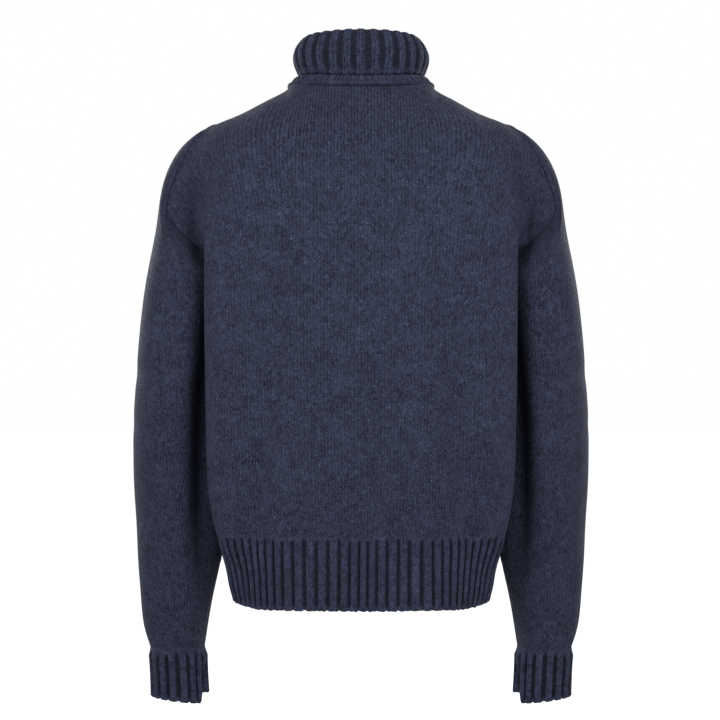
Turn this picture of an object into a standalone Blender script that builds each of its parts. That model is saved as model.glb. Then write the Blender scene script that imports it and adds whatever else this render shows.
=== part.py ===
"""Turtleneck sweater in its worn, filled-out form, with nobody in it.

Metres, +Z up. The front faces -Y and the wearer's left side is +X. The origin is the
centre of the neck's base. Every piece is a thin closed wall: an outer and an inner
grid of points joined at their rims. The pieces are the two panels, the two halves of
the ribbed hem, the sleeves, the vented cuffs and the folded ribbed collar.
"""

import math

import bpy
import numpy as np

# ---- driving sizes, metres ------------------------------------------------------
WALL = 0.0028            # plain knit
RIB_BASE = 0.0020        # rib knit in its grooves
RIB_RISE = 0.0022        # how far a rib stands over its groove
SEAM_GAP = 0.0003        # clear space between two pieces at a seam

HEM_TOP = -0.531
HEM_MIDDLE = -0.574
HEM_BOTTOM = -0.617
CHEST = -0.106           # above this height the panels close over the shoulders
ARMPIT = -0.218
SIDE_Y = -0.006          # plane of the side seams

FRONT_DEPTH = 1.06       # front depth over back depth
FRONT_EDGE_INSET = 0.011

NECK_HALF_WIDTH = 0.0865
NECK_HALF_DEPTH = 0.0760
NECK_CENTRE_Y = 0.0
NECK_BACK_Z = -0.002
NECK_SIDE_RISE = 0.006
NECK_FRONT_DROP = 0.040
SHOULDER_X = 0.172       # where the armhole seam crosses the shoulder
SHOULDER_Z = -0.0456
SHOULDER_Y = -0.002
CROWN_LIFT = (0.026, 0.0, 0.028)   # how far the sleeve's top stands out over the shoulder

CUFF_TOP = -0.6735
# Degrees round the wrist, from outward through the back, of the vent's two edges: at
# the top of the cuff, and how much further at its lower edge.
VENT_BACK_EDGE = (172.0, -32.0)
VENT_FRONT_EDGE = (177.0, 7.0)
VENT_STEP = 0.0095       # how much higher the front edge hangs than the back edge
VENT_STEP_TURN = 48.0    # degrees over which it comes down again

HEM_RIBS_PER_HALF = 45
CUFF_RIBS = 18
COLLAR_RIBS = 28
COLLAR_RIB_SHIFT = 0.31  # of a rib, so that one stands at the centre back

# ---- how finely the pieces are divided ------------------------------------------
PANEL_COLUMNS = 26
NECK_COLUMNS = 10
CAP_ROWS = 6
YOKE_ROWS = 6
BODY_ROWS = 9
CROWN_ROWS = 4
ARM_ROWS = 14

# Sections of the back from the hem to the chest. Depths are measured back from the
# plane of the side seams: at the centre back, at the rounded side edge, in the fold
# beside the arm, and on the side seam or, above the armpit, the armhole seam.
SECTION_COLUMNS = ("height", "centre", "edge_x", "edge", "fold_x", "fold", "seam_x", "seam")
SECTIONS = (
    (-0.614, 0.108, 0.1495, 0.058, 0.1420, 0.026, 0.1320, 0.0),
    (-0.597, 0.110, 0.1525, 0.060, 0.1440, 0.028, 0.1335, 0.0),
    (-0.578, 0.112, 0.1550, 0.062, 0.1465, 0.030, 0.1360, 0.0),
    (-0.531, 0.117, 0.1700, 0.067, 0.1565, 0.034, 0.1420, 0.0),
    (-0.485, 0.120, 0.1785, 0.070, 0.1620, 0.037, 0.1450, 0.0),
    (-0.410, 0.123, 0.1820, 0.073, 0.1635, 0.040, 0.1460, 0.0),
    (-0.320, 0.127, 0.1832, 0.076, 0.1640, 0.042, 0.1465, 0.0),
    (-0.250, 0.130, 0.1836, 0.079, 0.1655, 0.045, 0.1490, 0.0),
    (-0.218, 0.131, 0.1838, 0.081, 0.1690, 0.049, 0.1585, 0.0),
    (-0.197, 0.132, 0.1838, 0.083, 0.1780, 0.056, 0.1845, 0.036),
    (-0.177, 0.132, 0.1830, 0.085, 0.1880, 0.064, 0.2120, 0.053),
    (-0.155, 0.131, 0.1800, 0.089, 0.2020, 0.072, 0.2280, 0.059),
    (-0.130, 0.130, 0.1740, 0.093, 0.2020, 0.077, 0.2255, 0.060),
    (-0.106, 0.127, 0.1660, 0.096, 0.1940, 0.080, 0.2165, 0.059),
)

# Sleeve rings from just under the armpit to the cuff: the outermost and innermost
# point of each, which tilts it, its half depth and the depth of its centre.
RING_COLUMNS = ("outer_x", "outer_z", "inner_x", "inner_z", "half_depth", "centre_y")
RINGS = (
    (0.2495, -0.186, 0.1630, -0.240, 0.0695, -0.008),
    (0.2567, -0.228, 0.1625, -0.270, 0.0690, -0.009),
    (0.2655, -0.290, 0.1622, -0.312, 0.0675, -0.012),
    (0.2712, -0.355, 0.1625, -0.362, 0.0650, -0.016),
    (0.2735, -0.420, 0.1630, -0.420, 0.0635, -0.021),
    (0.2728, -0.490, 0.1640, -0.490, 0.0610, -0.027),
    (0.2708, -0.550, 0.1665, -0.550, 0.0575, -0.033),
    (0.2685, -0.604, 0.1775, -0.604, 0.0525, -0.039),
    (0.2645, -0.645, 0.1858, -0.645, 0.0465, -0.043),
    (0.2565, -0.6735, 0.1905, -0.6735, 0.0405, -0.046),
)
CUFF_RINGS = (
    (0.2565, -0.6735, 0.1905, -0.6735, 0.0405, -0.046),
    (0.2545, -0.697, 0.1898, -0.702, 0.0390, -0.048),
    (0.2535, -0.7320, 0.1885, -0.7405, 0.0380, -0.051),
)
RING_SQUARENESS = 0.96   # the power on the ring's sine and cosine

# How the armhole's points spread round the arm: share of the way down the armhole
# seam, and share of the half turn from outward to inward on the first ring.
SPREAD_COLUMNS = ("seam", "turn")
SPREAD = (
    (0.00, 0.000),
    (0.25, 0.085),
    (0.50, 0.190),
    (0.70, 0.310),
    (0.80, 0.440),
    (0.90, 0.690),
    (1.00, 1.000),
)

# How the hem's ribs lie from its centre to a side seam, as shares of their number and
# of the length: they are pressed together where the hem rounds the side.
HEM_COLUMNS = ("ribs", "length")
HEM_SPREAD = (
    (0.000, 0.000),
    (0.385, 0.460),
    (0.755, 0.725),
    (1.000, 1.000),
)

# The folded collar's middle line, from the neckline up, over the fold and down
# outside: how far it lies from the neckline's ellipse, its height, and how much lower
# it lies at the centre back and at the sides, where the fold's top slopes down.
COLLAR_COLUMNS = ("reach", "height", "back_dip", "side_dip")
COLLAR_LINE = (
    (-0.0012, 0.0014, 0.0, 0.0),
    (-0.0095, 0.0088, 0.0, 0.0),
    (-0.0190, 0.0130, 0.0, 0.0),
    (-0.0235, 0.0240, 0.0, 0.0010),
    (-0.0242, 0.0420, 0.0, 0.0040),
    (-0.0238, 0.0565, 0.0, 0.0072),
    (-0.0200, 0.0630, 0.0, 0.0086),
    (-0.0152, 0.0588, 0.0, 0.0080),
    (-0.0084, 0.0400, 0.0, 0.0036),
    (-0.0100, 0.0275, 0.001, 0.0010),
    (-0.0150, 0.0165, 0.002, 0.0),
)

# Largest folds, as troughs along a straight line. The columns are the start's and the
# end's x, y and z, the trough's half width and its depth.
FOLDS = (
    (0.098, 0.118, -0.240, 0.112, 0.098, -0.510, 0.024, 0.0060),
    (0.150, 0.085, -0.230, 0.160, 0.070, -0.330, 0.016, 0.0030),
    (0.090, -0.128, -0.260, 0.105, -0.108, -0.500, 0.026, 0.0060),
    (0.130, -0.115, -0.150, 0.075, -0.130, -0.250, 0.018, 0.0035),
    (0.225, 0.055, -0.325, 0.265, -0.010, -0.345, 0.012, 0.0030),
    (0.215, 0.050, -0.405, 0.268, -0.010, -0.400, 0.012, 0.0030),
    (0.190, 0.045, -0.610, 0.262, 0.000, -0.588, 0.010, 0.0030),
    (0.250, -0.060, -0.370, 0.165, -0.060, -0.400, 0.014, 0.0045),
    (0.255, -0.050, -0.440, 0.170, -0.060, -0.455, 0.013, 0.0040),
)

NAVY = (0.036, 0.039, 0.064)
NAVY_RIB = (0.030, 0.032, 0.052)


# ---- curves and grids -----------------------------------------------------------
def named(columns, rows):
    """The table's columns as arrays, by name."""
    return dict(zip(columns, np.array(rows, dtype=float).T))


def smooth_through(knots, values, at):
    """A natural cubic spline through the values at the knots, read at `at`."""
    knots, values = np.asarray(knots, float), np.asarray(values, float)
    flat = values.reshape(len(knots), -1)
    steps = np.diff(knots)
    slopes = np.diff(flat, axis=0) / steps[:, None]
    matrix, target = np.eye(len(knots)), np.zeros_like(flat)
    for i in range(1, len(knots) - 1):
        matrix[i, i - 1:i + 2] = steps[i - 1], 2 * (steps[i - 1] + steps[i]), steps[i]
        target[i] = 6 * (slopes[i] - slopes[i - 1])
    bend = np.linalg.solve(matrix, target)
    at = np.asarray(at, float)
    k = np.clip(np.searchsorted(knots, at) - 1, 0, len(knots) - 2)
    h, a = steps[k][:, None], (at - knots[k])[:, None]
    b = h - a
    read = ((bend[k] * b ** 3 + bend[k + 1] * a ** 3) / (6 * h)
            + (flat[k] / h - bend[k] * h / 6) * b + (flat[k + 1] / h - bend[k + 1] * h / 6) * a)
    return read.reshape(at.shape + values.shape[1:])


def unit(vectors):
    """The vectors at length one."""
    return vectors / np.maximum(np.linalg.norm(vectors, axis=-1, keepdims=True), 1e-12)


def grid_normals(grid, outward, closed=False):
    """Normals of a grid of rows and columns; `outward` is +1 or -1."""
    if closed:
        across = np.roll(grid, -1, axis=1) - np.roll(grid, 1, axis=1)
    else:
        across = np.gradient(grid, axis=1)
    along = np.gradient(grid, axis=0)
    return unit(np.cross(across, along)) * outward


def level_normals(normals):
    """The normals turned level, for a rim that lies in a level plane."""
    return unit(normals * np.array((1.0, 1.0, 0.0)))


def pull_back(edge, inside, beyond, amount):
    """The edge's points moved away from the piece beyond it, square to the edge."""
    tangent = unit(np.gradient(edge, axis=0))
    away = inside - beyond
    away = away - (away * tangent).sum(-1, keepdims=True) * tangent
    return edge + unit(away) * amount


def press_folds(grid, normals):
    """The grid sunk along its normals into the troughs of FOLDS, on both sides."""
    moved = grid.copy()
    mirrored = np.array((-1.0, 1.0, 1.0))
    for x0, y0, z0, x1, y1, z1, width, depth in FOLDS:
        for side in (np.ones(3), mirrored):
            start, end = np.array((x0, y0, z0)) * side, np.array((x1, y1, z1)) * side
            run = end - start
            share = np.clip(((grid - start) @ run) / (run @ run), 0.0, 1.0)
            apart = np.linalg.norm(grid - start - share[..., None] * run, axis=-1)
            fade = 0.35 + 0.65 * np.sin(math.pi * share) ** 0.5
            moved -= normals * (depth * fade * np.exp(-(apart / width) ** 2))[..., None]
    return moved


# ---- forms ----------------------------------------------------------------------
def section_points(heights, front=False):
    """Control points of the panel's level sections, left seam to right seam."""
    table = named(SECTION_COLUMNS, SECTIONS)
    row = {name: smooth_through(table["height"], values, heights)
           for name, values in table.items() if name != "height"}
    inset = FRONT_EDGE_INSET if front else 0.0
    edge_x, fold_x = row["edge_x"] - inset, row["fold_x"] - inset
    near, far = 0.47, 0.84

    def bowed(share):
        return row["edge"] + (row["centre"] - row["edge"]) * math.sqrt(1 - share ** 2)

    xs = (0 * edge_x, near * edge_x, far * edge_x, edge_x, fold_x, row["seam_x"])
    depths = (row["centre"], bowed(near), bowed(far), row["edge"], row["fold"], row["seam"])
    half_x, half_d = np.stack(xs, axis=1), np.stack(depths, axis=1)
    x = np.concatenate((-half_x[:, :0:-1], half_x), axis=1)
    depth = np.concatenate((half_d[:, :0:-1], half_d), axis=1)
    y = SIDE_Y - depth * FRONT_DEPTH if front else SIDE_Y + depth
    z = np.broadcast_to(np.asarray(heights, float)[:, None], x.shape)
    return np.stack((x, y, z), axis=2)


def section_curves(heights, across, front=False):
    """The panel's level sections read at `across`, from -1 (right seam) to 1 (left seam)."""
    half = np.array((0.327, 0.60, 0.753, 0.867, 1.0))
    knots = np.concatenate((-half[::-1], (0.0,), half))
    points = section_points(heights, front)
    curves = smooth_through(knots, np.swapaxes(points, 0, 1), across)
    return np.swapaxes(curves, 0, 1)


def neckline(turn):
    """The neckline at `turn` radians from the centre back, and its level normal."""
    x = NECK_HALF_WIDTH * np.sin(turn)
    y = NECK_CENTRE_Y + NECK_HALF_DEPTH * np.cos(turn)
    z = NECK_BACK_Z + NECK_SIDE_RISE * np.sin(turn) ** 2
    z = z - NECK_FRONT_DROP * ((1 - np.cos(turn)) / 2) ** 3.2
    normal = unit(np.stack((NECK_HALF_DEPTH * np.sin(turn),
                            NECK_HALF_WIDTH * np.cos(turn), 0 * turn), axis=-1))
    return np.stack((x, y, z), axis=-1), normal


def panel_top(across, front=False):
    """The panel's upper edge: the neckline in the middle, the shoulder seams beside it."""
    share = np.abs(across) * PANEL_COLUMNS / NECK_COLUMNS
    turn = np.minimum(share, 1.0) * math.pi / 2
    neck, _ = neckline(math.pi - turn if front else turn)
    neck_end, _ = neckline(np.array(math.pi / 2))
    out = np.clip((np.abs(across) - NECK_COLUMNS / PANEL_COLUMNS)
                  / (1 - NECK_COLUMNS / PANEL_COLUMNS), 0.0, 1.0)
    reach = neck_end[0] + (SHOULDER_X - neck_end[0]) * out
    drop = neck_end[2] + (SHOULDER_Z - neck_end[2]) * out ** 0.82
    back = neck_end[1] + (SHOULDER_Y - neck_end[1]) * out
    seam = np.stack((reach, back, drop), axis=-1)
    top = np.where(share[:, None] > 1.0, seam, neck)
    top[:, 0] = np.abs(top[:, 0]) * np.sign(across)
    return top


def panel_cap(across, turns, front=False):
    """Rows from the chest section to the upper edge, rounding over like part of an ellipse."""
    chest = section_curves(np.array((CHEST,)), across, front)[0]
    top = panel_top(across, front)
    neck_angle, shoulder_angle = math.radians(48.0), math.radians(88.0)
    blend = np.clip(np.abs(across) / 0.55, 0.0, 1.0)
    blend = blend * blend * (3 - 2 * blend)
    angle = neck_angle + (shoulder_angle - neck_angle) * blend
    step = turns[:, None] * angle
    rise = np.sin(step) / np.sin(angle)
    close = (1 - np.cos(step)) / (1 - np.cos(angle))
    x = chest[:, 0] + (top[:, 0] - chest[:, 0]) * turns[:, None] ** 1.05
    y = chest[:, 1] + (top[:, 1] - chest[:, 1]) * close
    z = chest[:, 2] + (top[:, 2] - chest[:, 2]) * rise
    return np.stack((x, y, z), axis=2)


def panel_form(front=False):
    """The panel's outer surface, from the hem's top to the neckline."""
    across = np.linspace(-1.0, 1.0, PANEL_COLUMNS + 1)
    heights = np.concatenate((np.linspace(HEM_TOP, ARMPIT, BODY_ROWS + 1),
                              np.linspace(ARMPIT, CHEST, YOKE_ROWS + 1)[1:]))
    lower = section_curves(heights, across, front)
    cap = panel_cap(across, np.linspace(0.0, 1.0, CAP_ROWS + 1)[1:], front)
    return np.concatenate((lower, cap), axis=0)


def rings(table_rows, turn, shares):
    """Tilted rings smoothed through the table; `shares` runs from 0 at its first row to 1.

    `turn` is the angle of each point round the ring, outward being 0 and the back a
    quarter turn; it holds one row, or one for each ring.
    """
    table = named(RING_COLUMNS, table_rows)
    outer = np.stack((table["outer_x"], 0 * table["outer_x"], table["outer_z"]), axis=1)
    inner = np.stack((table["inner_x"], 0 * table["inner_x"], table["inner_z"]), axis=1)
    sizes = np.concatenate((outer, inner, table["half_depth"][:, None],
                            table["centre_y"][:, None]), axis=1)
    knots = np.linspace(0.0, 1.0, len(table_rows))
    read = smooth_through(knots, sizes, shares)[:, None, :]
    turn = np.atleast_2d(turn)[..., None]
    cos, sin = (np.sign(part) * np.abs(part) ** RING_SQUARENESS
                for part in (np.cos(turn), np.sin(turn)))
    middle, swing = (read[..., 0:3] + read[..., 3:6]) / 2, (read[..., 0:3] - read[..., 3:6]) / 2
    points = middle + swing * cos
    points[..., 1] += (read[..., 7:8] + read[..., 6:7] * sin)[..., 0]
    return points


def crown(armhole, first, second, turn, shares):
    """The sleeve's top: a Bezier curve from each armhole point to the first ring."""
    over = ((1 + np.cos(turn)) / 2)[:, None] ** 3
    apart = first - armhole
    start_pull = 0.33 * apart + over * np.array(CROWN_LIFT)
    end_pull = unit(first - second) * 0.36 * np.linalg.norm(apart, axis=1, keepdims=True)
    a, b = shares[:, None, None], 1 - shares[:, None, None]
    return (b ** 3 * armhole + 3 * b * b * a * (armhole + start_pull)
            + 3 * b * a * a * (first + end_pull) + a ** 3 * first)


def sleeve_turns(shares):
    """The angle of each sleeve column, spread as the armhole wants it and evening out."""
    half = YOKE_ROWS + CAP_ROWS
    place = np.linspace(0.0, 1.0, half + 1)
    table = named(SPREAD_COLUMNS, SPREAD)
    gathered = smooth_through(table["seam"], table["turn"], place)
    even = np.clip(np.asarray(shares) / 0.8, 0.0, 1.0)[:, None]
    even = even * even * (3 - 2 * even)
    back = math.pi * ((1 - even) * gathered + even * place)
    return np.concatenate((back, 2 * math.pi - back[:, -2:0:-1]), axis=1)


def sleeve_form(back, front):
    """The left sleeve's outer surface, rings from the armhole to the cuff."""
    back_seam, front_seam = back[BODY_ROWS:, -1], front[BODY_ROWS:, -1]
    armhole = np.concatenate((back_seam[::-1], front_seam[1:-1]), axis=0)
    shares = np.linspace(0.0, 1.0, ARM_ROWS + 1)
    arm = rings(RINGS, sleeve_turns(shares), shares)
    start = np.array((0.0, 0.04))
    turns = sleeve_turns(start)
    near = rings(RINGS, turns, start)
    top = crown(armhole, near[0], near[1], turns[0], np.linspace(0.0, 1.0, CROWN_ROWS + 1)[:-1])
    return np.concatenate((top, arm), axis=0)


# ---- walls ----------------------------------------------------------------------
def grid_faces(rows, columns, closed, start, flip):
    """Triangles over a grid whose points are numbered row by row from `start`.

    The two halves of an open grid are split along mirrored diagonals.
    """
    wrap = columns if closed else columns - 1
    i, j = np.meshgrid(np.arange(rows - 1), np.arange(wrap), indexing="ij")
    k = (j + 1) % columns
    a, b = start + i * columns + j, start + i * columns + k
    c, d = start + (i + 1) * columns + k, start + (i + 1) * columns + j
    leaning = np.stack((np.stack((a, b, c), -1), np.stack((a, c, d), -1)), 2)
    mirrored = np.stack((np.stack((a, b, d), -1), np.stack((b, c, d), -1)), 2)
    swap = (j >= columns // 2) & (not closed)
    faces = np.where(swap[..., None, None], mirrored, leaning).reshape(-1, 3)
    return faces[:, ::-1] if flip else faces


def rim_faces(loop, heights, shift, closed):
    """Triangles that join an outer rim to the inner rim numbered `shift` higher.

    Each is split from the lower outer point, so that rims that face each other match.
    """
    first = loop if closed else loop[:-1]
    second = np.roll(loop, -1) if closed else loop[1:]
    rising = (heights[first] <= heights[second])[:, None]
    one = np.where(rising, np.stack((first, first + shift, second + shift), -1),
                   np.stack((first, first + shift, second), -1))
    two = np.where(rising, np.stack((first, second + shift, second), -1),
                   np.stack((first + shift, second + shift, second), -1))
    return np.concatenate((one, two))


def wall(name, outer, inner, material, closed=False):
    """One closed body between an outer and an inner grid, with its faces looking out."""
    rows, columns = outer.shape[:2]
    count = rows * columns
    points = np.concatenate((outer.reshape(-1, 3), inner.reshape(-1, 3)))
    index = np.arange(count).reshape(rows, columns)
    heights = points[:, 2]
    faces = [grid_faces(rows, columns, closed, 0, False),
             grid_faces(rows, columns, closed, count, True),
             rim_faces(index[0], heights, count, closed),
             rim_faces(index[-1, ::-1], heights, count, closed)]
    if not closed:
        faces += [rim_faces(index[::-1, 0], heights, count, False),
                  rim_faces(index[:, -1], heights, count, False)]
    faces = np.concatenate(faces)
    corners = points[faces]
    volume = np.einsum("ij,ij->i", corners[:, 0], np.cross(corners[:, 1], corners[:, 2])).sum()
    if volume < 0:
        faces = faces[:, ::-1]
    mesh = bpy.data.meshes.new(name)
    mesh.from_pydata(points.tolist(), [], faces.tolist())
    mesh.shade_smooth()
    mesh.set_sharp_from_angle(angle=math.radians(50))
    mesh.materials.append(material)
    piece = bpy.data.objects.new(name, mesh)
    bpy.data.collections["turtleneck_sweater"].objects.link(piece)
    return piece


def knit_material(name, colour, roughness):
    """A matt wool finish."""
    material = bpy.data.materials.new(name)
    material.use_nodes = True
    shader = material.node_tree.nodes["Principled BSDF"]
    shader.inputs["Base Color"].default_value = (*colour, 1.0)
    shader.inputs["Roughness"].default_value = roughness
    shader.inputs["Metallic"].default_value = 0.0
    return material


# ---- the pieces -----------------------------------------------------------------
def shared_normals(back_n, front_n, sleeve_n):
    """Normals on the side, armhole and shoulder seams, as the mean of the pieces there."""
    top, half = BODY_ROWS + YOKE_ROWS + CAP_ROWS, YOKE_ROWS + CAP_ROWS
    first = (PANEL_COLUMNS + NECK_COLUMNS) // 2
    side = unit(back_n[:BODY_ROWS + 1, -1] + front_n[:BODY_ROWS + 1, -1])
    arm_back = unit(back_n[BODY_ROWS:, -1] + sleeve_n[0, :half + 1][::-1])
    arm_front = unit(front_n[BODY_ROWS:, -1] + np.roll(sleeve_n[0], -half, axis=0)[:half + 1])
    shoulder = unit(back_n[top, first:] + front_n[top, first:])
    armpit = unit(side[-1] + arm_back[0] + arm_front[0])
    point = unit(shoulder[-1] + arm_back[-1] + arm_front[-1])
    side[-1] = arm_back[0] = arm_front[0] = armpit
    shoulder[-1] = arm_back[-1] = arm_front[-1] = point
    return side, arm_back, arm_front, shoulder


def body_and_sleeves():
    """Outer grids and normals of the panels and the left sleeve, alike along each seam."""
    back, front = panel_form(False), panel_form(True)
    sleeve = sleeve_form(back, front)
    back_n, front_n = grid_normals(back, -1.0), grid_normals(front, 1.0)
    sleeve_n = grid_normals(sleeve, -1.0, closed=True)
    back, front = press_folds(back, back_n), press_folds(front, front_n)
    sleeve = press_folds(sleeve, sleeve_n)
    mirror = np.array((-1.0, 1.0, 1.0))

    side, arm_back, arm_front, shoulder = shared_normals(back_n, front_n, sleeve_n)
    first = (PANEL_COLUMNS + NECK_COLUMNS) // 2
    neck = slice(PANEL_COLUMNS - first, first + 1)
    across = np.linspace(-1.0, 1.0, PANEL_COLUMNS + 1)[neck]
    turn = across * PANEL_COLUMNS / NECK_COLUMNS * math.pi / 2
    for normals, arm, turns in ((back_n, arm_back, turn), (front_n, arm_front, math.pi - turn)):
        normals[:BODY_ROWS + 1, -1] = side
        normals[BODY_ROWS:, -1] = arm
        normals[-1, first:] = shoulder
        normals[:, 0] = normals[:, -1] * mirror
        normals[-1, :PANEL_COLUMNS - first + 1] = shoulder[::-1] * mirror
        normals[-1, neck] = neckline(turns)[1]
        normals[0] = level_normals(normals[0])
    sleeve_n[0] = np.concatenate((arm_back[::-1], arm_front[1:-1]))
    sleeve_n[-1] = level_normals(sleeve_n[-1])

    front[:BODY_ROWS + 1, -1] = back[:BODY_ROWS + 1, -1]
    for grid in (back, front):
        grid[:, 0] = grid[:, -1] * mirror
    sleeve[0] = np.concatenate((back[BODY_ROWS:, -1][::-1], front[BODY_ROWS:, -1][1:-1]))
    return (back, back_n), (front, front_n), (sleeve, sleeve_n)


def make_panel(name, grid, normals, other, sleeve, material):
    """A panel's wall, drawn back a little from the other panel and the sleeves."""
    shoulder_from = (PANEL_COLUMNS + NECK_COLUMNS) // 2
    left_end = PANEL_COLUMNS - shoulder_from + 1
    gap = SEAM_GAP / 2
    half = YOKE_ROWS + CAP_ROWS
    front = grid[0, PANEL_COLUMNS // 2, 1] < SIDE_Y
    arm = np.roll(sleeve[1], -half, axis=0)[:half + 1] if front else sleeve[1, :half + 1][::-1]
    beyond = np.concatenate((other[:BODY_ROWS, -2], arm))
    mirror = np.array((-1.0, 1.0, 1.0))
    outer = grid.copy()
    outer[:, -1] = pull_back(grid[:, -1], grid[:, -2], beyond, gap)
    outer[:, 0] = pull_back(grid[:, 0], grid[:, 1], beyond * mirror, gap)
    for run in (slice(0, left_end), slice(shoulder_from, None)):
        moved = pull_back(grid[-1, run], grid[-2, run], other[-2, run], gap)
        outer[-1, run] += moved - grid[-1, run]
    outer[0, :, 2] = HEM_TOP + gap
    wall(name, outer, outer - normals * WALL, material)


def make_sleeve(name, grid, normals, panels, side, material):
    """A sleeve's wall; `side` is +1 for the left one and -1 for the right one."""
    gap = SEAM_GAP / 2
    outer = grid.copy()
    back, front = (panel[BODY_ROWS:, -2] for panel in panels)
    beyond = np.concatenate((back[::-1], front[1:-1]))
    around = [np.concatenate((loop[-1:], loop, loop[:1])) for loop in (grid[0], grid[1], beyond)]
    outer[0] = pull_back(*around, gap)[1:-1]
    outer[-1, :, 2] = CUFF_TOP + gap
    turned = np.array((side, 1.0, 1.0))
    wall(name, outer * turned, (outer - normals * WALL) * turned, material, closed=True)


def rib_pattern(count, marks):
    """Places from 0 to 1 and raised shares for `count` ribs; marks are (place, raised)."""
    cell = np.arange(count)[:, None]
    places = (cell + np.array([place for place, _ in marks])) / count
    raised = np.broadcast_to(np.array([rise for _, rise in marks]), places.shape)
    return np.append(places.ravel(), 1.0), np.append(raised.ravel(), marks[0][1])


def gathered(places):
    """Shares of the hem's length for evenly counted places, alike on both sides."""
    table = named(HEM_COLUMNS, HEM_SPREAD)
    out = 2 * places - 1
    return (1 + np.sign(out) * smooth_through(table["ribs"], table["length"], np.abs(out))) / 2


def make_hem(name, front, material):
    """Half of the ribbed hem: ribs raised over a plain inside, from seam to seam."""
    gap = SEAM_GAP / 2
    heights = np.array((HEM_TOP - gap, HEM_MIDDLE, HEM_BOTTOM))
    fine = np.linspace(-1.0, 1.0, 241)
    curves = section_curves(heights, fine, front)
    marks = ((0.0, 0.0), (0.32, 1.0), (0.82, 1.0))
    places, raised = rib_pattern(HEM_RIBS_PER_HALF, marks)
    form = np.empty((len(heights), len(places), 3))
    for row, curve in enumerate(curves):
        run = np.concatenate(((0.0,), np.cumsum(np.linalg.norm(np.diff(curve, axis=0), axis=1))))
        at = gap + gathered(places) * (run[-1] - 2 * gap)
        for axis in range(3):
            form[row, :, axis] = np.interp(at, run, curve[:, axis])
    normals = level_normals(grid_normals(form, -1.0 if front else 1.0))
    normals[:, 0] = (-1.0, 0.0, 0.0)
    normals[:, -1] = (1.0, 0.0, 0.0)
    inner = form - normals * WALL
    outer = inner + normals * (RIB_BASE + RIB_RISE * raised)[None, :, None]
    wall(name, outer, inner, material)


def make_cuff(name, side, material):
    """A ribbed cuff, open in a vent that widens towards its lower edge."""
    gap = SEAM_GAP / 2
    places, raised = rib_pattern(CUFF_RIBS, ((0.0, 0.0), (0.22, 1.0), (0.80, 1.0)))
    shares = np.array((0.0, 0.5, 1.0))
    form = []
    for share in shares:
        start = math.radians(VENT_FRONT_EDGE[0] + VENT_FRONT_EDGE[1] * share)
        end = math.radians(360.0 + VENT_BACK_EDGE[0] + VENT_BACK_EDGE[1] * share)
        turn = start + places * (end - start)
        ring = rings(CUFF_RINGS, turn, np.array((share,)))[0]
        past = (turn - start) / math.radians(VENT_STEP_TURN)
        ring[:, 2] += VENT_STEP * share ** 2 * np.exp(-past ** 2)
        form.append(ring)
    form = np.array(form)
    form[0, :, 2] = CUFF_TOP - gap
    normals = level_normals(grid_normals(form, -1.0))
    inner = form - normals * WALL
    outer = inner + normals * (RIB_BASE + RIB_RISE * raised)[None, :, None]
    turned = np.array((side, 1.0, 1.0))
    wall(name, outer * turned, inner * turned, material)


def make_collar(material):
    """The ribbed tube: it stands on the neckline and is folded outward once."""
    marks = ((0.0, 0.0), (0.38, 0.0), (0.50, 1.0), (0.90, 1.0))
    places, raised = rib_pattern(COLLAR_RIBS, marks)
    turn = (places[:-1] + COLLAR_RIB_SHIFT / COLLAR_RIBS) * 2 * math.pi
    raised = raised[:-1]
    base, level = neckline(turn)
    line = named(COLLAR_COLUMNS, COLLAR_LINE)
    profile = np.stack((line["reach"], line["height"]), axis=1)
    along = unit(np.gradient(profile, axis=0))
    across = np.stack((-along[:, 1], along[:, 0]), axis=1)
    upright = np.array((0.0, 0.0, 1.0))
    dip = (line["back_dip"][:, None] * (0.5 + 0.5 * np.cos(turn))
           + line["side_dip"][:, None] * np.sin(turn) ** 2)
    middle = (base[None] + line["reach"][:, None, None] * level[None]
              + (line["height"][:, None] - dip)[..., None] * upright)
    square = across[:, 0, None, None] * level[None] + across[:, 1, None, None] * upright
    square[0] = -level
    stand = (np.arange(len(profile)) <= 1)[:, None]
    turned_down = (np.arange(len(profile)) >= 6)[:, None]
    half = RIB_BASE / 2 + 0.0004
    outside = middle + square * (half + RIB_RISE * raised * turned_down)[..., None]
    inside = middle - square * (half + 0.5 * RIB_RISE * raised * stand)[..., None]
    wall("collar", outside, inside, material, closed=True)


def build():
    """Every piece of the sweater, each as its own closed wall."""
    for thing in list(bpy.data.objects):
        bpy.data.objects.remove(thing)
    garment = bpy.data.collections.new("turtleneck_sweater")
    bpy.context.scene.collection.children.link(garment)
    plain = knit_material("plain_knit", NAVY, 0.9)
    ribbed = knit_material("rib_knit", NAVY_RIB, 0.92)

    back, front, sleeve = body_and_sleeves()
    make_panel("back", *back, front[0], sleeve[0], plain)
    make_panel("front", *front, back[0], sleeve[0], plain)
    make_hem("hem_back", False, ribbed)
    make_hem("hem_front", True, ribbed)
    make_collar(ribbed)
    for word, side in (("left", 1.0), ("right", -1.0)):
        make_sleeve("sleeve_" + word, *sleeve, (back[0], front[0]), side, plain)
        make_cuff("cuff_" + word, side, ribbed)


build()
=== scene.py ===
"""The looks of the turtleneck sweater: its knit, ribs, seams and soft folds.

Metres, +Z up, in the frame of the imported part: the front faces -Y, the wearer's left
side is +X and the origin is the centre of the neck's base. Each of the nine pieces is
a thin cloth shell on its solid's form: the same named sizes, read far more finely,
with rounded ribs, seam ridges and uneven soft folds added. The camera looks at the back.
"""

from __future__ import annotations

import logging
import math
from dataclasses import dataclass, field
from enum import Enum

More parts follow.
